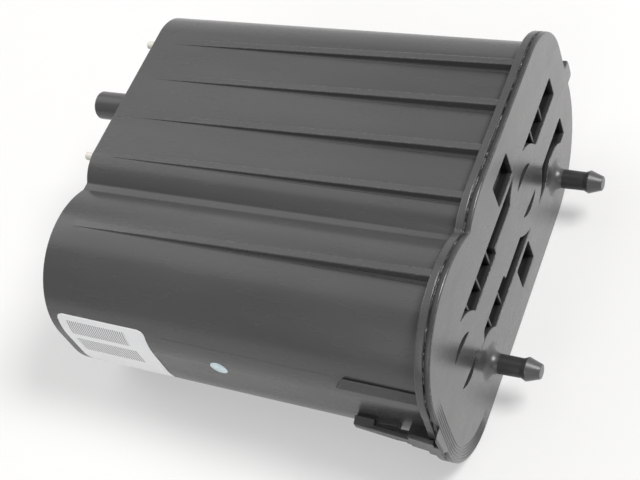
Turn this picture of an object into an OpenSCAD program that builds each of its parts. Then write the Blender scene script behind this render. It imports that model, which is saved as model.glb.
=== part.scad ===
// Vapour canister: a ribbed shell with two carbon chambers and a welded, pocketed end cover.
// X runs from the port end to the end cover, Y from the round lobe to the far side, Z is up.
// The canister lies on its flat back, and the origin is the middle of that face.

/* [Shell] */
// Length from the port end to the outer face of the end cover
shell_len = 181.4; // [150:0.2:240]
// Height of the flat top above the back
shell_h = 84.4; // [80:0.2:96]
// Distance from the centre line to the far side
far_y = 80; // [76:0.5:100]
// Distance from the centre line to the front of the lobe
front_y = 81; // [79:0.5:90]
// Height of the lobe's crest above the back
lobe_h = 83.2; // [80:0.2:90]
// Radius of the lobe
lobe_r = 35.6; // [32:0.2:38]
// Radius of the shoulder where the flat top turns down into the valley
shoulder_r = 36; // [32:0.2:40]
// Distance from the centre line to the shoulder's centre, towards the lobe
shoulder_y = 4; // [2:0.5:8]
// Radius of the fillet along the valley
valley_r = 6.6; // [6.2:0.1:9]
// Radius of the upper far corner
top_far_r = 20; // [12:0.5:26]
// Radius of the lower far corner
low_far_r = 35.5; // [24:0.5:38]
// Radius of the lower front corner
low_front_r = 33; // [24:0.5:36]
// Thickness of the moulded walls
wall = 2.6; // [2:0.1:3.4]
// Thickness of the port-end wall
end_wall = 3; // [2:0.1:5]
// Thickness of the partition between the two chambers
partition_t = 2.4; // [1.6:0.1:4]
// How far the partition runs on past the retainer plates
partition_over = 6; // [4:0.5:8]

/* [Collar and ribs] */
// How far the collar stands out from the panels
collar_grow = 5.6; // [4:0.2:6]
// Length of the collar along the shell
collar_w = 3.4; // [2.5:0.1:8]
// How much higher the lobe sits at the collar
lobe_rise = 2; // [0:0.2:3]
// Width of a stiffening rib
rib_w = 3.3; // [2:0.1:5]
// Distance from the port end to the start of the ribs
rib_start = 4; // [2:0.5:30]
// Depth of a rib's ends below the panel and below the collar's edge
rib_step = 0.4; // [0.2:0.1:1]
// Front edge of the first rib on the flat top, from the centre line
rib_first_y = -11.7; // [-14:0.1:-8]
// Pitch of the ribs on the flat top
rib_pitch = 22.2; // [18:0.1:22.4]
// Number of ribs at that pitch
rib_count = 3; // [1:1:3]
// Front edge of the far rib
far_rib_y = 53.5; // [44:0.1:55]
// Front edge of the lobe's rib
lobe_rib_y = -47.9; // [-54:0.1:-42]

/* [End cover] */
// Thickness of the cover at its rim
rim_t = 2.4; // [1.6:0.1:5]
// Thickness of the weld land behind the rim
seam_t = 0.6; // [0.3:0.1:1.5]
// How far the weld land is set back from the rim
seam_inset = 1.2; // [0.5:0.1:2]
// Reach of the lower front foot of the rim past the lobe
foot_out = 8.5; // [6:0.5:9.5]
// Radius of that foot
foot_r = 28; // [24:0.5:34]
// Reach of the rail pad on the rim past the lobe
rail_pad_out = 11.5; // [10:0.1:14]
// Bevel of the rail pad's corners, twice as long up as across
pad_bevel = 2; // [1:0.1:3]
// Reach of the ear on the far side
ear_out = 10.5; // [7:0.1:13]
// Height of the ear's middle
ear_z = 46.5; // [40:0.5:50]
// Width of the ear
ear_w = 10; // [6:0.5:16]
// Height of the spring bosses
boss_z = 45.5; // [43:0.1:47]
// Distance from the centre line to the boss of the main chamber
main_boss_y = 24.5; // [23:0.1:26]
// Distance from the centre line to the boss of the lobe chamber
lobe_boss_y = -56.5; // [-58:0.1:-55]
// Radius kept clear of pockets round a spring boss
boss_clear_r = 19.4; // [18.6:0.1:20.4]
// Radius of the thick seat behind a spring boss
boss_seat_r = 14; // [12:0.1:16]
// Thickness that the seat adds to the cover
boss_t = 2.5; // [2:0.1:4]

/* [Pockets] */
// Depth of the pockets from the cover's face
pocket_depth = 9; // [6:0.5:11]
// Thickness of the pocket walls and floors
pocket_wall = 1.8; // [1.2:0.1:2]
// Distance from the boss line to the near edge of the wide slots
slot_in = 7.7; // [7:0.1:9]
// Distance from the boss line to the near edge of the narrow slots
narrow_in = 10.9; // [9.5:0.1:12]
// Distance from the boss line to the far edge of the slots
slot_out = 18.5; // [17:0.1:19]
// Distance from the boss line to the near edge of the windows
window_in = 20.8; // [20.6:0.1:22]
// Distance from the boss line to the far edge of the windows
window_out = 33.6; // [30:0.1:34]
// Thickness of the cross ribs in the slots
cross_t = 1.2; // [0.8:0.1:2]
// How far the cross ribs lie below the face
cross_drop = 2.2; // [1:0.1:4]
// Pitch of the cross ribs
cross_pitch = 12.2; // [10:0.1:12.6]
// Radius of the crescent grooves
crescent_r = 11.3; // [10.5:0.1:11.6]
// Width of a crescent groove at its middle
crescent_w = 1.6; // [1:0.1:1.8]
// Turn of a crescent groove round its boss, in degrees
crescent_turn = 82; // [76:1:90]
// Depth of the crescent grooves
crescent_depth = 3.4; // [2:0.1:4]

/* [Grommet pins] */
// Radius of a pin's shank
pin_r = 4.2; // [3.5:0.1:4.6]
// Radius of a pin's crown
crown_r = 5; // [4.8:0.1:5.6]
// Radius of a pin's flat tip
pin_tip_r = 3; // [2:0.1:3.6]
// Length of a pin
pin_len = 21.5; // [18:0.5:30]
// Length of the crown and its nose
nose_len = 7.8; // [6:0.1:9]
// Length of the bevel under the crown
bevel_len = 1.6; // [1:0.1:2.4]
// Radius of the fillet at a pin's root
root_r = 2.6; // [1:0.1:3.5]
// Radius kept clear of pockets round a pin
pin_clear_r = 14.5; // [13.5:0.1:15.2]
// Height of the pins above the back
pin_z = 19.6; // [18:0.1:21]
// Distance from the centre line to the far pin
far_pin_y = 50.4; // [49:0.1:52]
// Distance from the centre line to the near pin
near_pin_y = -42.7; // [-44:0.1:-41]

/* [Ports] */
// Height of the row of ports above the back
port_z = 67; // [55:0.5:70]
// Outer radius of the hose tube
tube_r = 6.5; // [5:0.1:8]
// Bore radius of the hose tube
tube_bore_r = 4.5; // [3:0.1:4.6]
// Length of the hose tube
tube_len = 24.9; // [20:0.1:40]
// Distance from the centre line to the hose tube
tube_y = 27.7; // [20:0.1:34]
// Outer radius of the small ports
port_r = 4.5; // [4:0.1:6]
// Bore radius of the small ports
port_bore_r = 2.5; // [2:0.1:3.2]
// Length of the small ports
port_len = 7; // [5:0.5:10]
// Distance from the centre line to the far small port
far_port_y = 65.9; // [60:0.1:68]
// Distance from the centre line to the near small port
near_port_y = -1.6; // [-6:0.1:8]
// Clearance of a plug's shank in its port
plug_clear = 0.05; // [0.02:0.01:0.15]
// Thickness of a plug's head
plug_head_t = 1.4; // [1:0.1:3]
// Radius of a plug's grip stem
stem_r = 1.9; // [1.5:0.1:2.4]
// Length of a plug's grip stem
stem_len = 9.5; // [5:0.1:14]
// Radius of the fresh-air opening in the lobe's end wall
air_r = 6; // [4:0.5:10]

/* [Slide mount] */
// Length of the rails, from the collar towards the port end
rail_len = 31; // [24:0.5:50]
// Thickness of a rail's lip
lip_t = 2; // [1.4:0.1:2.4]
// Height of the upper rail's lip at its top edge
upper_lip_z = 62.6; // [60:0.1:66]
// Height of the lower rail's lip at its top edge
lower_lip_z = 40; // [38:0.1:42]
// Height of a lip above its web
lip_h = 5; // [4:0.1:6]
// Thickness of a rail's web
web_t = 3; // [2:0.1:4]
// Reach of the upper lip past the lobe
upper_reach = 2.6; // [2.4:0.1:5]
// Reach of the lower lip past the lobe at its free end
lower_reach = 6; // [5:0.1:7]
// Reach of the lower lip past the lobe at the collar
lower_reach_end = 9.4; // [8:0.1:10]
// Length of the stop block where the lower rail meets the collar
stop_len = 8; // [5:0.5:10]
// Height of that stop block above the lower lip's top edge
stop_rise = 5; // [3:0.1:7]
// How far the stop block is set back from the lower lip
stop_back = 0.4; // [0.2:0.1:1]
// Length of the snap window in the lower rail's web
snap_w = 4.4; // [3:0.1:5]
// Width of the snap window
snap_d = 3.2; // [2:0.1:3.4]
// Distance from the lobe to the snap window
snap_in = 1.2; // [0.8:0.1:1.5]
// Height of the ramp that leads to the snap window
ramp_h = 2; // [1:0.1:3]

/* [Contents] */
// Height of the stand-off ribs that hold the pads off the port-end wall
plenum = 4; // [3:0.5:8]
// Thickness of the stand-off ribs
standoff_t = 1.6; // [1:0.1:3]
// Pitch of the stand-off ribs
standoff_pitch = 13; // [10:0.5:16]
// Thickness of the felt pads
pad_t = 5; // [3:0.5:10]
// Thickness of the retainer plates
retainer_t = 3.5; // [2.5:0.1:5]
// Opening of the retainer's grid
grid_open = 8.5; // [6:0.1:9]
// Pitch of the retainer's grid
grid_pitch = 11.5; // [10.5:0.1:14]
// Solid border round the retainer's grid
grid_border = 4; // [3:0.5:6]
// Installed length of the springs
spring_len = 19; // [15:0.5:26]
// Mean radius of the springs
spring_r = 9.2; // [8.4:0.1:10]
// Wire diameter of the springs
wire_d = 1.6; // [1.2:0.1:1.7]
// Turns of the springs
spring_turns = 5; // [4:1:6]
// Height of the spigots that centre the springs
spigot_h = 2.6; // [2:0.1:4]
// Clearance of pads and carbon in their chamber
fill_clear = 0.2; // [0.1:0.05:0.5]
// Clearance of the retainer plates in their chamber and of spigots in their springs
slip_clear = 0.3; // [0.2:0.05:0.6]

/* [Label] */
// Length of the label
label_len = 45.4; // [20:0.2:60]
// Height of the label's upper edge above the back
label_top_z = 61.6; // [50:0.2:66]
// Height of the label's lower edge above the back
label_low_z = 24; // [16:0.2:34]
// Distance from the port end to the label
label_x = 4.8; // [3:0.2:20]
// Corner radius of the label
label_r = 3; // [1:0.2:6]
// Thickness of the label
label_t = 0.2; // [0.15:0.05:0.4]
// Distance from the port end to the paint dot
dot_x = 82.9; // [70:0.1:120]
// Height of the paint dot above the back
dot_z = 48.1; // [38:0.1:54]
// Radius of the paint dot
dot_r = 3.9; // [2:0.1:6]

/* [Hidden] */
$fn = 96;
// Overlap that lets a cut or a joined form pass through a face
eps = 1;
// How far the valley's fillet crosses the two circles that it joins
bite = 0.01;
cover_t = rim_t + seam_t;
weld_x = shell_len - cover_t;
collar_x = weld_x - collar_w;
lobe_y = lobe_r - front_y;
lobe_z = lobe_h - lobe_r;
shoulder_z = shell_h - shoulder_r;
partition_y = (lobe_y - shoulder_y) / 2;
seat_x = weld_x - boss_t;
retainer_x = seat_x - spring_len - retainer_t;
partition_end = retainer_x + retainer_t + partition_over;
near_pad_x = end_wall + plenum;
bed_x = near_pad_x + pad_t;
bed_len = retainer_x - pad_t - bed_x;
spigot_r = spring_r - wire_d / 2 - slip_clear;
// Each slot: inner and outer end along Y, near and far edge from the boss line, side of that line
wide_slot_y = [[28, 69.4], [-52, -12.2]];
narrow_slot_y = [-12.2, 22];
upper_window_y = [0.8, 18.2];
lower_window_y = [-2.2, 13.7];
// First cross rib of each slot that has them, its number of ribs and its side of the boss line
cross_ribs = [[55, 2, 1], [-17.2, 3, 1], [-19.6, 2, -1]];

// Puts the port end at X = 0 while modelling, with the origin in mid length afterwards.
module place() {
    translate([-shell_len / 2, 0, 0]) children();
}

// Extrudes a section drawn in Y and Z along X.
module along_x(x, len) {
    translate([x, 0, 0]) rotate([90, 0, 90]) linear_extrude(len) children();
}

// Extrudes a shape drawn in X and Z along Y, from y upwards.
module along_y(y, len) {
    translate([0, y + len, 0]) rotate([90, 0, 0]) linear_extrude(len) children();
}

// Cylinder along X.
module rod_x(x, y, z, r, len) {
    translate([x, y, z]) rotate([0, 90, 0]) cylinder(r = r, h = len);
}

// Concave fillet between two circles a and b that cross in the valley.
module valley_fill(a, ra, b, rb, f) {
    gap = norm(b - a);
    u = (b - a) / gap;
    n = [u[1], -u[0]];
    run = ((ra + f) ^ 2 - (rb + f) ^ 2 + gap ^ 2) / (2 * gap);
    rise = sqrt((ra + f) ^ 2 - run ^ 2);
    c = a + run * u + rise * n;
    difference() {
        polygon([a, c, b]);
        translate(c) circle(f + bite);
    }
}

// Section of the shell, grown by d all round with its base at the height given.
module outline(d = 0, base = 0, rise = 0) {
    far = far_y + d;
    front = -front_y - d;
    top = shell_h + d;
    top_r = top_far_r + d;
    back_r = low_far_r + d;
    nose_r = low_front_r + d;
    shoulder = [-shoulder_y, shoulder_z];
    lobe = [lobe_y, lobe_z + rise];
    translate([far - top_r, top - top_r]) circle(top_r);
    translate([far - back_r, base + back_r]) circle(back_r);
    translate([front + nose_r, base + nose_r]) circle(nose_r);
    translate(shoulder) circle(shoulder_r + d);
    translate(lobe) circle(lobe_r + d);
    valley_fill(shoulder, shoulder_r + d, lobe, lobe_r + d, valley_r - d);
    polygon([[front + nose_r, base], [far - back_r, base], [far, base + back_r], [far, top - top_r],
        [far - top_r, top], [-shoulder_y, top], shoulder, lobe, [front, lobe[1]], [front, base + nose_r]]);
}

// Section of the collar and the cover's rim, with its foot, rail pad and ear, set back by inset.
module rim(inset = 0) {
    grow = collar_grow - inset;
    pad = -front_y - rail_pad_out + inset;
    foot_y = foot_r - front_y - foot_out;
    low = lower_lip_z - lip_h - web_t + inset;
    high = lower_lip_z + stop_rise + lip_h - inset;
    outline(grow, inset, lobe_rise);
    translate([foot_y, foot_r]) circle(foot_r - inset);
    translate([foot_y, inset]) square([foot_out + low_front_r - foot_r, foot_r]);
    polygon([[-front_y, low], [pad + pad_bevel, low], [pad, low + 2 * pad_bevel], [pad, high - 2 * pad_bevel],
        [pad + pad_bevel, high], [-front_y, high]]);
    translate([0, ear_z - ear_w / 2 + inset]) square([far_y + ear_out - inset, ear_w - 2 * inset]);
}

// Half of the section on one side of the partition, side 1 for the main chamber and -1 for the lobe.
module half(side, c) {
    edge = partition_y + side * (partition_t / 2 + c);
    reach = front_y + far_y + collar_grow;
    translate([side > 0 ? edge : edge - reach, 0]) square([reach, shell_h + lobe_h]);
}

// Section of a chamber, smaller by c all round.
module chamber(side, c = 0) {
    intersection() {
        outline(-wall - c, wall + c);
        half(side, c);
    }
}

// Height of the flat top and its shoulder at y, grown by d.
function top_z(y, d = 0) = y > -shoulder_y
    ? shell_h + d
    : shoulder_z + sqrt((shoulder_r + d) ^ 2 - (y + shoulder_y) ^ 2);

// Height of the lobe at y, grown by d.
function lobe_top_z(y, d = 0) = lobe_z + sqrt((lobe_r + d) ^ 2 - (y - lobe_y) ^ 2);

// Wedge rib that comes out of the panel at height z and runs up to just under the collar's edge.
module rib(y, z, z_end) {
    along_y(y, rib_w) polygon([[rib_start, z - wall / 2], [collar_x + eps, z - wall / 2],
        [collar_x + eps, z_end - rib_step], [collar_x, z_end - rib_step], [rib_start, z - rib_step]]);
}

module ribs() {
    top_ribs = concat([for (i = [0 : rib_count - 1]) rib_first_y + i * rib_pitch], [far_rib_y]);
    for (y = top_ribs) rib(y, top_z(y), top_z(y, collar_grow));
    rib(lobe_rib_y, lobe_top_z(lobe_rib_y), lobe_top_z(lobe_rib_y, collar_grow) + lobe_rise);
}

// Upper hook of the slide mount: a web out of the lobe and a lip that stands up from it.
module upper_rail() {
    out = -front_y - upper_reach;
    root = -front_y + wall / 2;
    low = upper_lip_z - lip_h;
    top_root = lobe_y - sqrt((lobe_r - wall / 2) ^ 2 - (low - lobe_z) ^ 2);
    along_x(collar_x - rail_len, rail_len + eps)
        polygon([[out, low], [out + lip_t / 4, upper_lip_z], [out + lip_t, upper_lip_z], [out + lip_t, low],
            [top_root, low], [root, low - web_t], [out + lip_t, low - web_t]]);
}

// Lower hook: it grows outwards to the collar, ends in a stop block and has a snap window behind a ramp.
module lower_rail() {
    x0 = collar_x - rail_len;
    x1 = collar_x + eps;
    slope = (lower_reach - lower_reach_end) / rail_len;
    out0 = -front_y - lower_reach;
    out1 = out0 + slope * (x1 - x0);
    low = lower_lip_z - lip_h;
    root = -front_y + wall / 2;
    stop_x = collar_x - stop_len;
    stop_out = out0 + slope * (stop_x - x0) + stop_back;
    end_out = out1 + stop_back;
    snap_x = stop_x - 1.5 * snap_w;
    ramp_x = snap_x - 2 * snap_w;
    snap_y = -front_y - snap_in - snap_d;
    difference() {
        union() {
            translate([0, 0, low - web_t]) linear_extrude(web_t)
                polygon([[x0, root], [x1, root], [x1, out1], [x0, out0]]);
            translate([0, 0, low - eps]) linear_extrude(lip_h + eps)
                polygon([[x0, out0 + lip_t], [x1, out1 + lip_t], [x1, out1], [x0, out0]]);
            translate([0, 0, low - eps]) linear_extrude(lip_h + stop_rise + eps)
                polygon([[stop_x, stop_out + lip_t], [x1, end_out + lip_t], [x1, end_out],
                    [stop_x, stop_out]]);
            along_y(snap_y, snap_d)
                polygon([[ramp_x, low - eps], [snap_x, low - eps], [snap_x, low + ramp_h], [ramp_x, low]]);
        }
        translate([snap_x, snap_y, low - web_t - eps]) cube([snap_w, snap_d, web_t + 2 * eps]);
    }
}

// Stand-off ribs on the inside of the port-end wall of one chamber.
module standoffs(side) {
    intersection() {
        along_x(end_wall - eps, plenum + eps) chamber(side, -eps);
        for (i = [1 : floor((far_y + front_y) / standoff_pitch)])
            translate([0, partition_y + side * i * standoff_pitch - standoff_t / 2, 0])
                cube([end_wall + plenum, standoff_t, shell_h + lobe_h]);
    }
}

module port_tube() {
    nose = (tube_r - tube_bore_r) / 2;
    rod_x(nose - tube_len, tube_y, port_z, tube_r, tube_len - nose + eps);
    translate([-tube_len, tube_y, port_z]) rotate([0, 90, 0])
        cylinder(r1 = tube_r - nose, r2 = tube_r, h = nose);
    for (y = [far_port_y, near_port_y]) rod_x(-port_len, y, port_z, port_r, port_len + eps);
}

module port_bores() {
    rod_x(-tube_len - eps, tube_y, port_z, tube_bore_r, tube_len + end_wall + 2 * eps);
    for (y = [far_port_y, near_port_y])
        rod_x(-port_len - eps, y, port_z, port_bore_r, port_len + end_wall + 2 * eps);
    rod_x(-eps, lobe_y, lobe_z, air_r, end_wall + 2 * eps);
}

module canister_body() {
    color("#4a4a4b") place() difference() {
        union() {
            difference() {
                union() {
                    along_x(0, weld_x) outline();
                    along_x(collar_x, collar_w) rim();
                    ribs();
                    upper_rail();
                    lower_rail();
                }
                for (side = [-1, 1]) along_x(end_wall, weld_x) chamber(side);
                along_x(partition_end, weld_x) intersection() {
                    outline(-wall, wall);
                    translate([partition_y - partition_t, 0]) square([2 * partition_t, shell_h]);
                }
            }
            for (side = [-1, 1]) standoffs(side);
            port_tube();
        }
        port_bores();
    }
}

// Circles that no pocket may enter, made smaller by g.
module keep_clear(g) {
    for (y = [main_boss_y, lobe_boss_y]) translate([y, boss_z]) circle(boss_clear_r - g);
    for (y = [far_pin_y, near_pin_y]) translate([y, pin_z]) circle(pin_clear_r - g);
}

// One rectangle of a pocket, from edge a to edge b off the boss line, on one side of it, grown by g.
module pocket(span, a, b, side, g) {
    low = boss_z + (side > 0 ? a : -b) - g;
    translate([span[0] - g, low]) square([span[1] - span[0] + 2 * g, b - a + 2 * g]);
}

module slots(g = 0) {
    difference() {
        for (side = [-1, 1]) {
            for (span = wide_slot_y) pocket(span, slot_in, slot_out, side, g);
            pocket(narrow_slot_y, narrow_in, slot_out, side, g);
        }
        keep_clear(g);
    }
    pocket(upper_window_y, window_in, window_out, 1, g);
    pocket(lower_window_y, window_in, window_out, -1, g);
}

// Cross ribs that stiffen the slots, just below the face.
module cross_walls() {
    for (row = cross_ribs)
        for (i = [0 : row[1] - 1])
            intersection() {
                slots(pocket_wall / 2);
                pocket([row[0] - i * cross_pitch - cross_t / 2, row[0] - i * cross_pitch + cross_t / 2],
                    slot_in, slot_out, row[2], pocket_wall / 2);
            }
}

// Crescent: the part of a disc that a larger, lower circle leaves over.
module crescent() {
    half_angle = crescent_turn / 2;
    drop = (2 * crescent_r * crescent_w - crescent_w ^ 2)
        / (2 * crescent_r * (1 - cos(half_angle)) - 2 * crescent_w);
    difference() {
        circle(crescent_r);
        translate([0, -drop]) circle(crescent_r + drop - crescent_w);
    }
}

// Barbed pin for a rubber grommet, with a filleted root.
module grommet_pin() {
    crown_at = pin_len - nose_len;
    rotate([0, 90, 0]) rotate_extrude() {
        polygon([[0, -eps], [pin_r, -eps], [pin_r, crown_at], [crown_r, crown_at + bevel_len],
            [crown_r, crown_at + 1.5 * bevel_len], [pin_tip_r, pin_len], [0, pin_len]]);
        difference() {
            translate([0, -eps]) square([pin_r + root_r, root_r + eps]);
            translate([pin_r + root_r, root_r]) circle(root_r);
        }
    }
}

module end_cover() {
    color("#5a5a5b") place() {
        difference() {
            union() {
                along_x(weld_x + seam_t, rim_t) rim();
                along_x(weld_x, seam_t) rim(seam_inset);
                along_x(shell_len - pocket_depth - pocket_wall, pocket_depth + pocket_wall - seam_t)
                    slots(pocket_wall);
                for (y = [main_boss_y, lobe_boss_y]) {
                    rod_x(seat_x, y, boss_z, boss_seat_r, boss_t + seam_t);
                    rod_x(seat_x - spigot_h, y, boss_z, spigot_r, spigot_h + boss_t);
                }
            }
            along_x(shell_len - pocket_depth, pocket_depth + eps) slots();
            for (y = [main_boss_y, lobe_boss_y])
                for (turn = [0, 180])
                    along_x(shell_len - crescent_depth, crescent_depth + eps)
                        translate([y, boss_z]) rotate(turn) crescent();
        }
        along_x(shell_len - pocket_depth - pocket_wall / 2, pocket_depth + pocket_wall / 2 - cross_drop)
            cross_walls();
        for (y = [far_pin_y, near_pin_y]) translate([shell_len, y, pin_z]) grommet_pin();
    }
}

// Felt pad that fills a chamber's section.
module pad(side, x) {
    color("#b9b4a6") place() along_x(x, pad_t) chamber(side, fill_clear);
}

module main_port_pad() {
    pad(1, near_pad_x);
}

module lobe_port_pad() {
    pad(-1, near_pad_x);
}

module main_spring_pad() {
    pad(1, retainer_x - pad_t);
}

module lobe_spring_pad() {
    pad(-1, retainer_x - pad_t);
}

// Packed carbon granules of one chamber.
module bed(side) {
    color("#1c1c1e") place() along_x(bed_x, bed_len) chamber(side, fill_clear);
}

module main_carbon_bed() {
    bed(1);
}

module lobe_carbon_bed() {
    bed(-1);
}

// Openings of a retainer's grid, centred on the spring's axis.
module grid(side, boss_y) {
    reach = ceil((far_y + front_y) / grid_pitch);
    intersection() {
        chamber(side, slip_clear + grid_border);
        for (i = [-reach : reach])
            for (j = [-reach : reach])
                if (norm([i, j]) * grid_pitch > boss_seat_r + grid_open * sqrt(0.5))
                    translate([boss_y + i * grid_pitch, boss_z + j * grid_pitch])
                        square(grid_open, center = true);
    }
}

// Open plate that presses a pad onto the carbon, with a spigot for the spring.
module retainer(side, boss_y) {
    color("#d8d6cc") place() {
        along_x(retainer_x, retainer_t) difference() {
            chamber(side, slip_clear);
            grid(side, boss_y);
        }
        rod_x(retainer_x + retainer_t / 2, boss_y, boss_z, spigot_r, retainer_t / 2 + spigot_h);
    }
}

module main_retainer() {
    retainer(1, main_boss_y);
}

module lobe_retainer() {
    retainer(-1, lobe_boss_y);
}

// Compression spring along X with closed ends: its lead eases in and out over the length.
module spring(boss_y) {
    sides = 8;
    steps = 18;
    last = spring_turns * steps;
    wire_r = wire_d / 2;
    lead = spring_len - wire_d;
    points = [for (i = [0 : last], k = [0 : sides - 1])
        let (t = i / last, a = 360 * i / steps, b = 360 * k / sides)
        let (r = spring_r + wire_r * cos(b), h = wire_r + lead * (3 - 2 * t) * t ^ 2 + wire_r * sin(b))
        [h, r * cos(a), r * sin(a)]];
    skin = [for (i = [0 : last - 1], k = [0 : sides - 1])
        let (m = (k + 1) % sides)
        [i * sides + k, i * sides + m, (i + 1) * sides + m, (i + 1) * sides + k]];
    first_cap = [[for (k = [0 : sides - 1]) sides - 1 - k]];
    last_cap = [[for (k = [0 : sides - 1]) last * sides + k]];
    color("#9a9c9e") place() translate([seat_x - spring_len, boss_y, boss_z])
        polyhedron(points, concat(skin, first_cap, last_cap), convexity = 10);
}

module main_spring() {
    spring(main_boss_y);
}

module lobe_spring() {
    spring(lobe_boss_y);
}

// Natural-coloured transit plug: shank in the port, head on its rim, grip stem outside.
module port_plug(y) {
    color("#d9d8cf") place() {
        rod_x(-port_len - eps / 2, y, port_z, port_bore_r - plug_clear, port_len + end_wall / 2);
        rod_x(-port_len - plug_head_t, y, port_z, port_r, plug_head_t);
        rod_x(-port_len - plug_head_t - stem_len, y, port_z, stem_r, stem_len + plug_head_t / 2);
    }
}

module far_port_plug() {
    port_plug(far_port_y);
}

module near_port_plug() {
    port_plug(near_port_y);
}

// Thin skin of thickness t on the lobe's front, inside the shape drawn in X and Z.
module skin_patch(t) {
    intersection() {
        along_x(0, collar_x) difference() {
            outline(t);
            outline();
        }
        along_y(-front_y - 2 * eps, front_y + 2 * eps + lobe_y) children();
    }
}

module label() {
    height = label_top_z - label_low_z;
    color("#e4e4e2") place() skin_patch(label_t) {
        translate([label_x + label_r, label_low_z]) square([label_len - 2 * label_r, height]);
        translate([label_x, label_low_z + label_r]) square([label_len, height - 2 * label_r]);
        for (x = [label_r, label_len - label_r], z = [label_low_z + label_r, label_top_z - label_r])
            translate([label_x + x, z]) circle(label_r);
    }
}

module paint_dot() {
    color("#a9cfe0") place() skin_patch(label_t) translate([dot_x, dot_z]) circle(dot_r);
}

canister_body();
end_cover();
main_port_pad();
lobe_port_pad();
main_carbon_bed();
lobe_carbon_bed();
main_spring_pad();
lobe_spring_pad();
main_retainer();
lobe_retainer();
main_spring();
lobe_spring();
far_port_plug();
near_port_plug();
label();
paint_dot();
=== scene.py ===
# %% [markdown]
# A vapour canister is two moulded boxes of carbon side by side in one ribbed shell, shut by a welded cover.
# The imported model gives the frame: every surface here is drawn in the same millimetres and refines its look.
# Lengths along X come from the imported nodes, so that the skin, collar and cover meet where the solids do.

import bmesh
import bpy
import numpy as np
from mathutils import Matrix, Vector
from mathutils.geometry import delaunay_2d_cdt


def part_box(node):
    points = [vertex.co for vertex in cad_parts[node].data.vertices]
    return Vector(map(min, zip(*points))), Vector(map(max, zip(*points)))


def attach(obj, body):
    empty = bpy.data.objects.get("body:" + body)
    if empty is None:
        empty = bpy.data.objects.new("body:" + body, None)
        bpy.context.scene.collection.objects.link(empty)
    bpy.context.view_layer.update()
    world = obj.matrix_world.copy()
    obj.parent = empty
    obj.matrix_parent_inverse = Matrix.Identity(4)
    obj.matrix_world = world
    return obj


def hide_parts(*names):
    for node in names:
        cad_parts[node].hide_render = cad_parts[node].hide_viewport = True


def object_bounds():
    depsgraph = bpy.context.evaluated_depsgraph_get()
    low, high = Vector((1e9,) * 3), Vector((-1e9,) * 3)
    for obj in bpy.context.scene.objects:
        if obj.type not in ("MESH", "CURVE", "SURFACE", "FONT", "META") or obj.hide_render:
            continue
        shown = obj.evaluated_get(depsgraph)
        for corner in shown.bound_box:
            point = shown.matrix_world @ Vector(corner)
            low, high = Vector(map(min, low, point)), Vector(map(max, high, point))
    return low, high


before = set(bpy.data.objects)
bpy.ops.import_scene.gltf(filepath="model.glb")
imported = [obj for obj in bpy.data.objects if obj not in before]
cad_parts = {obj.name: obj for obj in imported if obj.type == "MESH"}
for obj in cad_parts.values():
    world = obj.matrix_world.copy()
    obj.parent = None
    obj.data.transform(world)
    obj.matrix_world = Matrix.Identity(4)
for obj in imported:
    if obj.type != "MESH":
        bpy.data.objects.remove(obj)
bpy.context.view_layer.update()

MM = 0.001
SHELL_LEN = 181.4
COVER_T = 3.0
COLLAR_W = 3.4
WELD_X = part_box("canister_body")[1][0] / MM
FACE_X = WELD_X + COVER_T
PORT_X = FACE_X - SHELL_LEN
COLLAR_X = WELD_X - COLLAR_W
print("port end, collar, weld and face at", [round(x, 2) for x in (PORT_X, COLLAR_X, WELD_X, FACE_X)])

# %% [markdown]
# Most pieces here are lofts: closed outlines, one per station, joined by quads.
# An outline can be typed in as points, but arcs with a centre and a radius say what the moulder drew.
# So the helpers below make arcs, even out the spacing of points, round corners off and give outward normals.

# %% Outline helpers
def arc(centre, radius, start, end, count=16):
    """Points on a circle: centre plus radius times cosine and sine, in equal steps of an angle in degrees."""
    angle = np.radians(np.linspace(start, end, count))
    return np.column_stack([centre[0] + radius * np.cos(angle), centre[1] + radius * np.sin(angle)])


def bearing(a, b):
    """Angle in degrees of the line from a to b."""
    return np.degrees(np.arctan2(b[1] - a[1], b[0] - a[0]))


def evenly(outline, count):
    """The closed outline again with points at equal steps of its length, found by linear interpolation."""
    closed = np.vstack([outline, outline[:1]])
    run = np.concatenate([[0.0], np.cumsum(np.linalg.norm(np.diff(closed, axis=0), axis=1))])
    at = np.linspace(0.0, run[-1], count, endpoint=False)
    return np.column_stack([np.interp(at, run, closed[:, 0]), np.interp(at, run, closed[:, 1])])


def softened(outline, rounds):
    """Rounded corners: each point moves to the mean of itself, twice, and its neighbours, in some rounds."""
    for _ in range(rounds):
        outline = (np.roll(outline, 1, axis=0) + 2 * outline + np.roll(outline, -1, axis=0)) / 4
    return outline


def outward(outline):
    """Unit normals of a counter-clockwise outline: the chord between two neighbours, turned a right angle."""
    chord = np.roll(outline, -1, axis=0) - np.roll(outline, 1, axis=0)
    normal = np.column_stack([chord[:, 1], -chord[:, 0]])
    return normal / np.linalg.norm(normal, axis=1, keepdims=True)


def at_x(x, outline):
    """The outline in Y and Z set up as points in space at one station x."""
    return np.column_stack([np.full(len(outline), x), outline])


print("a quarter arc has", len(arc((0, 0), 1, 0, 90)), "points")

# %% [markdown]
# A mesh is a list of points and a list of faces. For a loft the faces follow from the grid of its rows.
# A flat face with holes has no grid. It is cut into triangles, and those inside a hole are left out by a test
# that counts how often a ray crosses the outline. A boolean cut could do it too, but is harder to foresee.

# %% Grids and the inside test
def loft_faces(rows, cols, wrap=True):
    """Quads of a grid, row after row, each from i,j to i,j+1 to i+1,j+1 to i+1,j.

    With wrap, the last column is joined to the first."""
    i, j = np.meshgrid(np.arange(rows - 1), np.arange(cols if wrap else cols - 1), indexing="ij")
    k = (j + 1) % cols
    quads = np.stack([i * cols + j, i * cols + k, (i + 1) * cols + k, (i + 1) * cols + j], axis=-1)
    return quads.reshape(-1, 4).tolist()


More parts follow.
